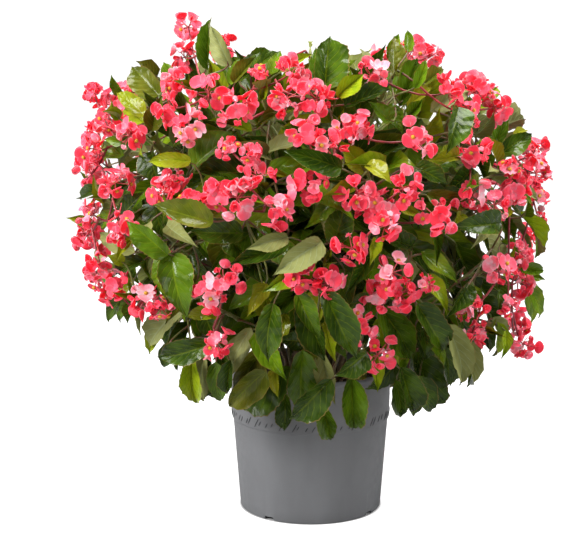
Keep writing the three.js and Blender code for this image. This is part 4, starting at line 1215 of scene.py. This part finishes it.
def mix_skin():
    """A plug inside the wall, whose top is a low dome with lumps that fade towards the wall."""
    turns = np.linspace(0, 2 * math.pi, 144, endpoint=False)
    r = np.concatenate([[0, 60, 104.5], [115, 116.6, 116.8], np.linspace(115.5, 0, 44)])
    dome = MIX_EDGE_Z + MIX_DOME * (1 - np.linspace(1, 0, 44) ** 2)
    z = np.concatenate([[9.8, 9.8, 9.8], [140, 180, 189.5], dome])
    grid_r, grid_t = np.broadcast_arrays(r[:, None], turns[None])
    x, y = grid_r * np.cos(grid_t), grid_r * np.sin(grid_t)
    top = (np.arange(len(r)) > 5)[:, None] * np.minimum(1, (MIX_R - grid_r) / LUMPS_FADE)
    rings = np.stack([x, y, z[:, None] + top * (lumps(x, y) - 1.5)], -1)[None]
    uv = np.stack([grid_t / 6.2832, grid_r / 120], -1)[None]
    return skin(rings, uv, [(0, 0, 0, 0)], 0)


def chip_skin(count):
    """Bits of bark on the mix: short flat bars of five uneven sides, turned every way."""
    k = np.arange(count)
    r = 112 * np.sqrt(draw(k, 60))
    turn = 6.28 * draw(k, 61)
    x, y = r * np.cos(turn), r * np.sin(turn)
    dome = MIX_EDGE_Z + MIX_DOME * (1 - (r / MIX_R) ** 2)
    z = dome + lumps(x, y) * np.minimum(1, (MIX_R - r) / LUMPS_FADE)
    heading = unit(np.stack([draw(k, 62) - 0.5, draw(k, 63) - 0.5, 0.4 * (draw(k, 64) - 0.5)], -1))
    length = 4 + 9 * draw(k, 65) ** 2
    ways = np.array([-0.5, -0.3, 0.3, 0.5])
    paths = np.stack([x, y, z], -1)[:, None] + heading[:, None] * (length[:, None] * ways)[..., None]
    radii = (1.2 + 1.6 * draw(k, 66))[:, None] * np.array([0.7, 1, 0.9, 0.6])
    tone = np.stack([draw(k, 67)] * 4, -1)
    return tubes(paths, radii, 5, tone, 1, (1, 0.6, 1.1, 0.7, 0.9))


# Finishes. Colours that change over a surface come from groups and ramps, and the shaders stay in each
# material.

def add(tree, kind, links=None, **settings):
    """Adds a node, sets its properties, and fills or links its inputs by name or number."""
    node = tree.nodes.new(kind)
    for name, value in settings.items():
        setattr(node, name, value)
    for key, value in (links or {}).items():
        if isinstance(value, bpy.types.NodeSocket):
            tree.links.new(value, node.inputs[key])
        else:
            node.inputs[key].default_value = value
    return node


def calc(tree, operation, *values, clamp=False):
    """The output of one arithmetic step."""
    links = dict(enumerate(values))
    return add(tree, "ShaderNodeMath", links, operation=operation, use_clamp=clamp).outputs[0]


def plus(tree, total, value, share, offset=0.0, clamp=False):
    """A total with a share of a value and an offset added to it."""
    return calc(tree, "ADD", total, calc(tree, "MULTIPLY_ADD", value, share, offset), clamp=clamp)


def ramp_value(tree, value, low, high, to_low=0.0, to_high=1.0):
    """A value eased between two limits."""
    links = {"Value": value, "From Min": low, "From Max": high, "To Min": to_low, "To Max": to_high}
    return add(tree, "ShaderNodeMapRange", links, interpolation_type="SMOOTHSTEP").outputs[0]


def opaque(colour):
    """A colour with its fourth part, 1. The output of a node stays as it is."""
    return colour if isinstance(colour, bpy.types.NodeSocket) else (*colour[:3], 1.0)


def darker(colour, share):
    return tuple(part * share for part in colour[:3])


def blend_colours(tree, share, low, high):
    links = {0: share, 6: opaque(low), 7: opaque(high)}
    return add(tree, "ShaderNodeMix", links, data_type="RGBA").outputs[2]


def tint(tree, colour, mask, share, other):
    """A colour blended towards another by a share of a mask."""
    return blend_colours(tree, calc(tree, "MULTIPLY", mask, share), colour, other)


def colour_ramp(tree, value, stops):
    node = add(tree, "ShaderNodeValToRGB", {0: value})
    while len(node.color_ramp.elements) < len(stops):
        node.color_ramp.elements.new(0.5)
    for element, (place, colour) in zip(node.color_ramp.elements, stops):
        element.position = place
        element.color = opaque(colour)
    return node.outputs[0]


def noise(tree, vector, scale, detail=3.0, rough=0.55, stretch=None):
    if stretch:
        vector = add(tree, "ShaderNodeMapping", {"Vector": vector, "Scale": stretch}).outputs[0]
    links = {"Vector": vector, "Scale": scale, "Detail": detail, "Roughness": rough}
    return add(tree, "ShaderNodeTexNoise", links).outputs[0]


def new_group(name, inputs, outputs):
    """An empty node group with named sockets, and its input and output nodes."""
    tree = bpy.data.node_groups.new(name, "ShaderNodeTree")
    for label, kind, value in inputs:
        socket = tree.interface.new_socket(label, in_out="INPUT", socket_type=kind)
        if value is not None:
            socket.default_value = value
    for label, kind in outputs:
        tree.interface.new_socket(label, in_out="OUTPUT", socket_type=kind)
    return tree, tree.nodes.new("NodeGroupInput"), tree.nodes.new("NodeGroupOutput")


def vein_group():
    """Rib, side veins and margin of a blade, from its own u across and v along.

    Side veins are where the fraction of v times a count, less |u| times a slant, comes near to nought.
    """
    tree, given, made = new_group(
        "blade_veins",
        [("UV", "NodeSocketVector", None), ("Count", "NodeSocketFloat", 7.0),
         ("Slant", "NodeSocketFloat", 1.7)],
        [("Veins", "NodeSocketFloat"), ("Margin", "NodeSocketFloat"), ("Height", "NodeSocketFloat")],
    )
    parts = add(tree, "ShaderNodeSeparateXYZ", {0: given.outputs["UV"]})
    wobble = calc(tree, "MULTIPLY", noise(tree, given.outputs["UV"], 5.0), 0.5)
    across = calc(tree, "ABSOLUTE", calc(tree, "MULTIPLY_ADD", parts.outputs[0], 2.0, -1.0))
    phase = calc(tree, "SUBTRACT", calc(tree, "MULTIPLY", parts.outputs[1], given.outputs["Count"]),
                 calc(tree, "MULTIPLY", across, given.outputs["Slant"]))
    fraction = calc(tree, "FRACT", calc(tree, "ADD", phase, calc(tree, "ADD", wobble, 3.0)))
    bow = calc(tree, "ABSOLUTE", calc(tree, "MULTIPLY_ADD", fraction, 2.0, -1.0))
    fade = ramp_value(tree, across, 0.97, 0.6)
    side = calc(tree, "MULTIPLY", ramp_value(tree, bow, 0.8, 1.0), fade)
    rib = ramp_value(tree, across, 0.09, 0.02)
    veins = calc(tree, "MAXIMUM", side, rib)
    ragged = calc(tree, "MULTIPLY_ADD", noise(tree, given.outputs["UV"], 22.0), 0.08, -0.04)
    tree.links.new(veins, made.inputs["Veins"])
    tree.links.new(ramp_value(tree, calc(tree, "ADD", across, ragged), 0.95, 0.99), made.inputs["Margin"])
    swell = calc(tree, "SUBTRACT", calc(tree, "MULTIPLY", calc(tree, "SUBTRACT", 1.0, bow), 0.5), veins)
    tree.links.new(swell, made.inputs["Height"])
    return tree


def mottle_group():
    """Two sizes of soft noise at a place: a mask for colour and a height for bump."""
    tree, given, made = new_group(
        "mottle",
        [("Vector", "NodeSocketVector", None), ("Scale", "NodeSocketFloat", 40.0)],
        [("Mask", "NodeSocketFloat"), ("Height", "NodeSocketFloat")],
    )
    broad = noise(tree, given.outputs["Vector"], given.outputs["Scale"], 2.0)
    fine = noise(tree, given.outputs["Vector"], calc(tree, "MULTIPLY", given.outputs["Scale"], 14.0), 4.0)
    tree.links.new(ramp_value(tree, broad, 0.3, 0.7), made.inputs["Mask"])
    tree.links.new(fine, made.inputs["Height"])
    return tree


def speck_group():
    """Small round specks scattered over a surface, from the distance to the nearest of its cells."""
    tree, given, made = new_group(
        "specks",
        [("Vector", "NodeSocketVector", None), ("Scale", "NodeSocketFloat", 300.0),
         ("Size", "NodeSocketFloat", 0.2)],
        [("Mask", "NodeSocketFloat")],
    )
    links = {name: given.outputs[name] for name in ("Vector", "Scale")}
    cells = add(tree, "ShaderNodeTexVoronoi", links)
    larger = calc(tree, "MULTIPLY", given.outputs["Size"], 1.5)
    mask = ramp_value(tree, cells.outputs["Distance"], larger, given.outputs["Size"])
    rare = add(tree, "ShaderNodeSeparateColor", {0: cells.outputs["Color"]}).outputs[0]
    tree.links.new(calc(tree, "MULTIPLY", mask, ramp_value(tree, rare, 0.45, 0.6)), made.inputs["Mask"])
    return tree


def place_group(tree, maker, name, **links):
    """The outputs of a group placed in a material, which is made when it is first asked for."""
    made = bpy.data.node_groups.get(name) or maker()
    return add(tree, "ShaderNodeGroup", links, node_tree=made).outputs


class Finish:
    """A material with its shader, and the sources that its colour and bump are worked out from."""

    def __init__(self, name, **constants):
        self.material = bpy.data.materials.new(name)
        self.material.use_nodes = True
        self.tree = self.material.node_tree
        self.shader = self.tree.nodes["Principled BSDF"]
        for key, value in constants.items():
            self.shader.inputs[key.replace("_", " ")].default_value = value
        self.place = add(self.tree, "ShaderNodeTexCoord").outputs["Object"]
        self.uv = add(self.tree, "ShaderNodeUVMap", uv_map="Surface").outputs[0]

    def tones(self):
        """The three parts of the piece's tone attribute, and its fourth, an even draw."""
        node = add(self.tree, "ShaderNodeAttribute", attribute_name="tone", attribute_type="GEOMETRY")
        parts = add(self.tree, "ShaderNodeSeparateColor", {0: node.outputs["Color"]})
        return [*parts.outputs, node.outputs["Alpha"]]

    def finish(self, colour, rough=None, height=None, strength=0.3, distance=0.0008):
        self.tree.links.new(colour, self.shader.inputs["Base Color"])
        if rough is not None:
            self.tree.links.new(rough, self.shader.inputs["Roughness"])
        if height is not None:
            links = {"Height": height, "Strength": strength, "Distance": distance}
            bump = add(self.tree, "ShaderNodeBump", links)
            self.tree.links.new(bump.outputs[0], self.shader.inputs["Normal"])
        return self.material


def pot_finish(look):
    f = Finish("moulded_grey_plastic", Specular_IOR_Level=0.4)
    tree = f.tree
    streaks = noise(tree, f.place, 9.0, 5.0, 0.6, (1, 1, 0.25))
    grain = place_group(tree, mottle_group, "mottle", Vector=f.place, Scale=60.0)
    specks = place_group(tree, speck_group, "specks", Vector=f.place, Scale=300.0, Size=0.09)
    colour = blend_colours(tree, ramp_value(tree, streaks, 0.3, 0.7), darker(look.pot_colour, 0.9),
                           darker(look.pot_colour, 1.1))
    colour = tint(tree, colour, specks["Mask"], 0.22, darker(look.pot_colour, 1.9))
    rough = ramp_value(tree, grain["Mask"], 0.0, 1.0, 0.46, 0.58)
    return f.finish(colour, rough, grain["Height"], 0.12, 0.0004)


def tick_finish(look):
    f = Finish("dark_grey_ridges", Specular_IOR_Level=0.35, Roughness=0.55)
    grain = place_group(f.tree, mottle_group, "mottle", Vector=f.place, Scale=90.0)
    colour = blend_colours(f.tree, grain["Mask"], darker(look.pot_colour, 0.28),
                           darker(look.pot_colour, 0.45))
    return f.finish(colour, None, grain["Height"], 0.1, 0.0003)


def peat_finish():
    f = Finish("damp_peat", Specular_IOR_Level=0.25)
    grain = place_group(f.tree, mottle_group, "mottle", Vector=f.place, Scale=70.0)
    fibres = noise(f.tree, f.place, 420.0, 5.0, 0.7)
    colour = colour_ramp(f.tree, fibres, [
        (0.3, (0.012, 0.008, 0.005)), (0.55, (0.045, 0.028, 0.017)), (0.8, (0.11, 0.072, 0.045)),
    ])
    rough = ramp_value(f.tree, grain["Mask"], 0.0, 1.0, 0.8, 0.97)
    return f.finish(colour, rough, fibres, 0.9, 0.002)


def bark_finish():
    f = Finish("bark_bits", Specular_IOR_Level=0.3)
    draws = f.tones()
    grain = noise(f.tree, f.place, 500.0, 4.0, 0.65, (1, 1, 3))
    share = plus(f.tree, calc(f.tree, "MULTIPLY", draws[0], 0.7), grain, 0.3)
    colour = colour_ramp(f.tree, share, [
        (0.1, (0.03, 0.017, 0.01)), (0.5, (0.1, 0.052, 0.026)), (0.9, (0.24, 0.15, 0.085)),
    ])
    return f.finish(colour, ramp_value(f.tree, grain, 0.2, 0.8, 0.7, 0.92), grain, 0.6, 0.0008)


def leaf_upper_finish(look):
    """Green from dark to young by the leaf's tone, with pale veins, soft patches, a thin red margin and a
    faint painted sheen of pale grey-green.
    """
    f = Finish("leaf_upper_side", Coat_Weight=0.22, Coat_Roughness=0.11, Specular_IOR_Level=0.1,
               Specular_Tint=(0.9, 1.0, 0.4, 1.0))
    tree = f.tree
    light, bronze, painted_sheen, even = f.tones()
    veins = place_group(tree, vein_group, "blade_veins", UV=f.uv, Count=7.0, Slant=2.4)
    patch = place_group(tree, mottle_group, "mottle", Vector=f.place, Scale=32.0)
    shade = plus(tree, light, patch["Mask"], 0.26, -0.13)
    shade = plus(tree, shade, even, 0.2, -0.1, clamp=True)
    colour = colour_ramp(tree, shade, [
        (0.0, look.leaf_dark), (0.42, look.leaf_green), (0.66, look.leaf_light), (1.0, look.leaf_young),
    ])
    patchy = ramp_value(tree, patch["Mask"], 0.0, 1.0, 0.45, 1.0)
    colour = tint(tree, colour, bronze, patchy, look.leaf_bronze)
    # Painted waxy sheen: a faint pale grey-green tint, by the leaf's sheen share.
    colour = tint(tree, colour, painted_sheen, 0.03, (0.13, 0.19, 0.1))
    colour = tint(tree, colour, veins["Veins"], 0.24, look.leaf_light)
    colour = tint(tree, colour, veins["Margin"], 0.75, look.leaf_margin)
    rough = ramp_value(tree, patch["Mask"], 0.0, 1.0, 0.24, 0.36)
    height = plus(tree, veins["Height"], patch["Height"], 0.35)
    return f.finish(colour, rough, height, 0.55, 0.0012)


def leaf_under_finish(look):
    """The paler side, with the veins standing proud, a flush of the leaf's bronze and a reddish margin."""
    f = Finish("leaf_under_side", Specular_IOR_Level=0.2)
    tree = f.tree
    light, bronze, _, even = f.tones()
    veins = place_group(tree, vein_group, "blade_veins", UV=f.uv, Count=7.0, Slant=2.4)
    patch = place_group(tree, mottle_group, "mottle", Vector=f.place, Scale=40.0)
    colour = blend_colours(tree, patch["Mask"], darker(look.leaf_under, 0.72), look.leaf_under)
    colour = tint(tree, colour, light, 0.35, look.leaf_light)
    colour = tint(tree, colour, bronze, 0.45, look.leaf_bronze)
    colour = tint(tree, colour, veins["Veins"], 0.4, (0.3, 0.36, 0.2))
    colour = tint(tree, colour, veins["Margin"], 0.6, look.leaf_margin)
    rough = ramp_value(tree, calc(tree, "ADD", patch["Mask"], even), 0.0, 2.0, 0.5, 0.64)
    return f.finish(colour, rough, calc(tree, "MULTIPLY", veins["Height"], -1.0), 0.35, 0.0009)


def stalk_finish():
    """Petioles: green, flushed with red where the noise and the leaf's lightness are low."""
    f = Finish("petiole_skin", Specular_IOR_Level=0.4, Roughness=0.42)
    light = f.tones()[0]
    patch = place_group(f.tree, mottle_group, "mottle", Vector=f.place, Scale=55.0)
    share = plus(f.tree, calc(f.tree, "MULTIPLY", light, 0.35), patch["Mask"], 0.5)
    colour = colour_ramp(f.tree, share, [
        (0.1, (0.13, 0.035, 0.022)), (0.45, (0.1, 0.1, 0.028)), (0.8, (0.18, 0.22, 0.045)),
    ])
    return f.finish(colour, None, patch["Height"], 0.2, 0.0004)


def cane_finish():
    """Canes: brown and woody low down, green above, with pale specks and reddish patches."""
    f = Finish("cane_skin", Specular_IOR_Level=0.4)
    tree = f.tree
    way = add(tree, "ShaderNodeSeparateXYZ", {0: f.uv}).outputs[1]
    patch = place_group(tree, mottle_group, "mottle", Vector=f.place, Scale=30.0)
    specks = place_group(tree, speck_group, "specks", Vector=f.place, Scale=420.0, Size=0.22)
    share = plus(tree, calc(tree, "MULTIPLY", way, 0.22), patch["Mask"], 0.3, -0.1)
    colour = colour_ramp(tree, share, [
        (0.1, (0.1, 0.055, 0.03)), (0.45, (0.13, 0.12, 0.045)), (0.8, (0.2, 0.22, 0.06)),
    ])
    colour = tint(tree, colour, specks["Mask"], 0.6, (0.42, 0.38, 0.24))
    rough = ramp_value(tree, patch["Mask"], 0.0, 1.0, 0.4, 0.6)
    return f.finish(colour, rough, patch["Height"], 0.35, 0.0006)


def bract_finish():
    f = Finish("papery_bract", Specular_IOR_Level=0.2, Roughness=0.8)
    streaks = noise(f.tree, f.uv, 6.0, 4.0, 0.6, (9, 1, 1))
    colour = colour_ramp(f.tree, streaks, [
        (0.25, (0.16, 0.08, 0.04)), (0.55, (0.36, 0.22, 0.12)), (0.8, (0.58, 0.44, 0.28)),
    ])
    return f.finish(colour, None, streaks, 0.5, 0.0006)


def petal_finish(look):
    """Coral, deeper or paler by the flower, paler towards the edge and along fine streaks."""
    f = Finish("petal_skin", Specular_IOR_Level=0.18, Subsurface_Weight=0.5, Subsurface_Scale=0.004)
    f.shader.inputs["Subsurface Radius"].default_value = (1.0, 0.3, 0.3)
    tree = f.tree
    light, inner, _, even = f.tones()
    parts = add(tree, "ShaderNodeSeparateXYZ", {0: f.uv})
    across = calc(tree, "ABSOLUTE", calc(tree, "MULTIPLY_ADD", parts.outputs[0], 2.0, -1.0))
    streaks = noise(tree, f.uv, 3.0, 3.0, 0.5, (11, 1.2, 1))
    share = calc(tree, "MULTIPLY_ADD", calc(tree, "POWER", light, 1.8), 0.6, 0.14)
    share = plus(tree, share, inner, 0.25)
    share = calc(tree, "ADD", share, ramp_value(tree, parts.outputs[1], 0.0, 0.7, 0.24, 0.0))
    share = plus(tree, share, calc(tree, "POWER", across, 3.0), 0.16)
    share = plus(tree, share, streaks, 0.3, -0.15)
    share = plus(tree, share, even, 0.2, -0.1, clamp=True)
    colour = colour_ramp(tree, share, [
        (0.0, darker(look.petal_deep, 0.8)), (0.3, look.petal_deep), (0.62, look.petal_middle),
        (1.0, look.petal_pale),
    ])
    return f.finish(colour, ramp_value(tree, streaks, 0.2, 0.8, 0.4, 0.56), streaks, 0.25, 0.0005)


def stamen_finish(look):
    f = Finish("stamens", Specular_IOR_Level=0.3, Roughness=0.6)
    grains = add(f.tree, "ShaderNodeTexVoronoi", {"Vector": f.place, "Scale": 1100.0}).outputs["Distance"]
    stops = [(0.1, look.stamen_colour), (0.7, darker(look.stamen_colour, 0.5))]
    colour = colour_ramp(f.tree, grains, stops)
    return f.finish(colour, None, calc(f.tree, "MULTIPLY", grains, -1.0), 0.7, 0.0006)


def peduncle_finish():
    f = Finish("flower_stalk", Specular_IOR_Level=0.4, Roughness=0.4)
    thin = f.tones()[3]
    patch = place_group(f.tree, mottle_group, "mottle", Vector=f.place, Scale=45.0)
    share = plus(f.tree, calc(f.tree, "MULTIPLY", thin, 0.6), patch["Mask"], 0.4)
    colour = colour_ramp(f.tree, share, [
        (0.05, (0.16, 0.02, 0.022)), (0.45, (0.42, 0.05, 0.055)), (0.9, (0.72, 0.16, 0.16)),
    ])
    return f.finish(colour, None, patch["Height"], 0.2, 0.0003)


def floor_finish():
    """A pale floor, brightened for the eye alone, and not under the pot."""
    f = Finish("pale_floor", Specular_IOR_Level=0.1, Roughness=0.9)
    patch = place_group(f.tree, mottle_group, "mottle", Vector=f.place, Scale=2.0)
    seen = add(f.tree, "ShaderNodeLightPath").outputs["Is Camera Ray"]
    away = add(f.tree, "ShaderNodeVectorMath", {0: f.place}, operation="LENGTH").outputs["Value"]
    glow = calc(f.tree, "MULTIPLY", seen, ramp_value(f.tree, away, 0.106, 0.112, 0.0, 0.9))
    f.shader.inputs["Emission Color"].default_value = (1, 1, 1, 1)
    f.tree.links.new(glow, f.shader.inputs["Emission Strength"])
    return f.finish(blend_colours(f.tree, patch["Mask"], (0.38, 0.38, 0.38), (0.4, 0.4, 0.4)))


# Settings, operators and panel.

def colour_setting(name, description, default):
    return FloatVectorProperty(
        name=name, description=description, default=default, size=3, min=0, max=1, subtype="COLOR")


class BegoniaPotSettings(bpy.types.PropertyGroup):
    """Sizes and colour of the pot and its mix."""

    pot_colour: colour_setting("Plastic", "Colour of the moulded plastic", (0.138, 0.14, 0.146))
    tick_count: IntProperty(
        name="Ticks", description="Slanted ticks round the band", default=TICKS, min=8, max=200)
    chip_count: IntProperty(name="Bark bits", description="Bits of bark on the mix", default=CHIPS, min=0)


class BegoniaLeafSettings(bpy.types.PropertyGroup):
    """Thickness and colours of the leaves."""

    blade_thickness: FloatProperty(
        name="Blade thickness", description="Thickness of a blade at its rib", default=BLADE_THICK * MM,
        unit="LENGTH", precision=5)
    leaf_dark: colour_setting("Dark leaf", "Upper side of an old leaf", (0.018, 0.04, 0.002))
    leaf_green: colour_setting("Green leaf", "Upper side of a grown leaf", (0.09, 0.166, 0.004))
    leaf_light: colour_setting("Light leaf", "Upper side of a light leaf, and veins", (0.25, 0.32, 0.008))
    leaf_young: colour_setting("Young leaf", "Upper side of a young leaf", (0.23, 0.225, 0.01))
    leaf_bronze: colour_setting("Bronze leaf", "Flush of a bronze leaf", (0.15, 0.085, 0.015))
    leaf_under: colour_setting("Under side", "Under side of a leaf", (0.245, 0.255, 0.09))
    leaf_margin: colour_setting("Margin", "Thin edge of a leaf", (0.21, 0.13, 0.035))


class BegoniaFlowerSettings(bpy.types.PropertyGroup):
    """Colours of the flowers."""

    petal_deep: colour_setting("Deep petal", "Colour of a deep petal", (0.98, 0.04, 0.08))
    petal_middle: colour_setting("Coral petal", "Colour of a middling petal", (1.0, 0.13, 0.2))
    petal_pale: colour_setting("Pale petal", "Colour of a pale petal", (1.0, 0.5, 0.56))
    stamen_colour: colour_setting("Stamens", "Colour of the stamens", (0.9, 0.48, 0.04))


class BegoniaStageSettings(bpy.types.PropertyGroup):
    """Light and camera."""

    sky: FloatProperty(name="Sky", description="Strength of the even light", default=0.16, min=0)
    key: FloatProperty(name="Key light", description="Power of the main light", default=145.0, unit="POWER")
    lens: FloatProperty(name="Lens", description="Focal length", default=94.33, unit="CAMERA")


class BEGONIA_OT_pot(bpy.types.Operator):
    """Build the pot's wall, rim and floor, and the band of ticks"""

    bl_idname = "begonia.pot"
    bl_label = "Pot"

    def execute(self, context):
        look = context.scene.begonia_pot
        wall = lathe_skin(WALL_PROFILE + WALL_PROFILE[:1], pot_turns(), 0, notched)
        build_piece("pot_wall", [wall, *floor_skins()], [pot_finish(look)], "pot", 32)
        build_piece("pot_ticks", [tick_skin(look.tick_count)], [tick_finish(look)], None)
        return {"FINISHED"}


class BEGONIA_OT_mix(bpy.types.Operator):
    """Build the potting mix with its lumps and bits of bark"""

    bl_idname = "begonia.mix"
    bl_label = "Potting mix"

    def execute(self, context):
        skins = [mix_skin(), chip_skin(context.scene.begonia_pot.chip_count)]
        build_piece("peat_and_bark", skins, [peat_finish(), bark_finish()], "potting_mix")
        return {"FINISHED"}


class BEGONIA_OT_stems(bpy.types.Operator):
    """Build each cane with its petioles, leaves and bracts"""

    bl_idname = "begonia.stems"
    bl_label = "Leafy stems"

    def execute(self, context):
        look = context.scene.begonia_leaves
        finishes = [leaf_upper_finish(look), leaf_under_finish(look), stalk_finish(), cane_finish(),
                    bract_finish()]
        for cane in plant():
            name = f"{cane.number + 1:02d}"
            skins = stem_skins(cane, look.blade_thickness / MM)
            build_piece("stem_" + name, skins, finishes, "leafy_stem_" + name, 70)
        return {"FINISHED"}


class BEGONIA_OT_sprays(bpy.types.Operator):
    """Build each spray of flowers with its stalks"""

    bl_idname = "begonia.sprays"
    bl_label = "Flower sprays"

    def execute(self, context):
        look = context.scene.begonia_flowers
        finishes = [petal_finish(look), stamen_finish(look), peduncle_finish()]
        for cane in plant():
            if not cane.heads:
                continue
            name = f"{cane.number + 1:02d}"
            skins = flower_skins(cane.heads) + stalk_skins(cane)
            build_piece("spray_" + name, skins, finishes, "flower_spray_" + name, 70)
        return {"FINISHED"}


# Each light's name, its place and width in metres, and its share of the main power.
LIGHTS = (
    ("key_light", (-2.2, -1.6, 1.9), 1.2, 0.9), ("fill_light", (2.0, -2.4, 1.5), 1.5, 0.23),
    ("top_light", (0.2, -0.1, 2.7), 1.2, 0.6), ("left_light", (-2.4, 0.3, 1.0), 1.0, 0.2),
    ("right_light", (2.1, -0.2, 1.95), 1.0, 0.31),
)


class BEGONIA_OT_stage(bpy.types.Operator):
    """Build the floor, the lights and the camera"""

    bl_idname = "begonia.stage"
    bl_label = "Stage"

    def execute(self, context):
        look = context.scene.begonia_stage
        self.make_floor()
        for name, place, size, share in LIGHTS:
            self.make_light(name, place, size, look.key * share)
        world = bpy.data.worlds.new("even_white")
        world.use_nodes = True
        tree = world.node_tree
        seen = add(tree, "ShaderNodeLightPath").outputs["Is Camera Ray"]
        sky = tree.nodes["Background"]
        sky.inputs["Color"].default_value = (1, 1, 1, 1)
        tree.links.new(calc(tree, "MULTIPLY_ADD", seen, 1 - look.sky, look.sky), sky.inputs["Strength"])
        context.scene.world = world
        context.scene.view_settings.view_transform = "Standard"
        lens = bpy.data.cameras.new("photo_camera")
        lens.lens, lens.sensor_width = look.lens, 36.0
        camera = bpy.data.objects.new("photo_camera", lens)
        camera.location = EYE * MM
        camera.rotation_euler = (math.radians(90 - EYE_PITCH), 0, 0)
        context.scene.collection.objects.link(camera)
        context.scene.camera = camera
        return {"FINISHED"}

    @staticmethod
    def make_floor():
        """A floor that turns up into a wall through a quarter circle, carried along x."""
        bend = np.linspace(0, math.pi / 2, 13)
        y = np.concatenate([[-6.0], 4.0 + 1.5 * np.sin(bend), [5.5]])
        z = np.concatenate([[0.0], 1.5 * (1 - np.cos(bend)), [6.0]])
        x = np.linspace(-7.0, 7.0, 8)
        grid = np.stack(np.broadcast_arrays(x[:, None], y[None], z[None]), -1)
        number = np.arange(grid.shape[0] * grid.shape[1]).reshape(grid.shape[:2])
        faces = np.stack([number[:-1, :-1], number[1:, :-1], number[1:, 1:], number[:-1, 1:]], -1)
        mesh = bpy.data.meshes.new("floor")
        mesh.from_pydata(grid.reshape(-1, 3).tolist(), [], faces.reshape(-1, 4).tolist())
        mesh.polygons.foreach_set("use_smooth", np.ones(len(mesh.polygons), bool))
        mesh.materials.append(floor_finish())
        floor = bpy.data.objects.new("floor", mesh)
        bpy.context.scene.collection.objects.link(floor)

    @staticmethod
    def make_light(name, place, size, power):
        """A square soft light that faces the middle of the crown."""
        light = bpy.data.lights.new(name, "AREA")
        light.size, light.energy = size, power
        lamp = bpy.data.objects.new(name, light)
        offset = np.array(place) - np.array([0, 0, 0.4])
        lamp.location = place
        lamp.rotation_euler = (
            math.acos(offset[2] / np.linalg.norm(offset)), 0, math.atan2(offset[0], -offset[1]))
        bpy.context.scene.collection.objects.link(lamp)


class BEGONIA_PT_panel(bpy.types.Panel):
    """Lists the pieces and their settings"""

    bl_idname = "BEGONIA_PT_panel"
    bl_label = "Begonia"
    bl_space_type = "VIEW_3D"
    bl_region_type = "UI"
    bl_category = "Begonia"

    def draw(self, context):
        for operator, settings in PANEL_ROWS:
            self.layout.operator(operator)
            look = getattr(context.scene, settings, None)
            for name in look.__annotations__ if look else ():
                self.layout.prop(look, name)


PANEL_ROWS = (
    ("begonia.pot", "begonia_pot"), ("begonia.mix", ""), ("begonia.stems", "begonia_leaves"),
    ("begonia.sprays", "begonia_flowers"), ("begonia.stage", "begonia_stage"),
)
SETTINGS = {
    "begonia_pot": BegoniaPotSettings, "begonia_leaves": BegoniaLeafSettings,
    "begonia_flowers": BegoniaFlowerSettings, "begonia_stage": BegoniaStageSettings,
}
OPERATORS = (BEGONIA_OT_pot, BEGONIA_OT_mix, BEGONIA_OT_stems, BEGONIA_OT_sprays, BEGONIA_OT_stage)


def register():
    for kind in (*SETTINGS.values(), *OPERATORS, BEGONIA_PT_panel):
        bpy.utils.register_class(kind)
    for name, kind in SETTINGS.items():
        setattr(bpy.types.Scene, name, PointerProperty(type=kind))


def unregister():
    for name in SETTINGS:
        delattr(bpy.types.Scene, name)
    for kind in (BEGONIA_PT_panel, *reversed(OPERATORS), *SETTINGS.values()):
        bpy.utils.unregister_class(kind)


def main():
    register()
    bpy.ops.begonia.stage()
    bpy.ops.begonia.pot()
    bpy.ops.begonia.mix()
    bpy.ops.begonia.stems()
    bpy.ops.begonia.sprays()
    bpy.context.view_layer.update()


if __name__ == "__main__":
    main()
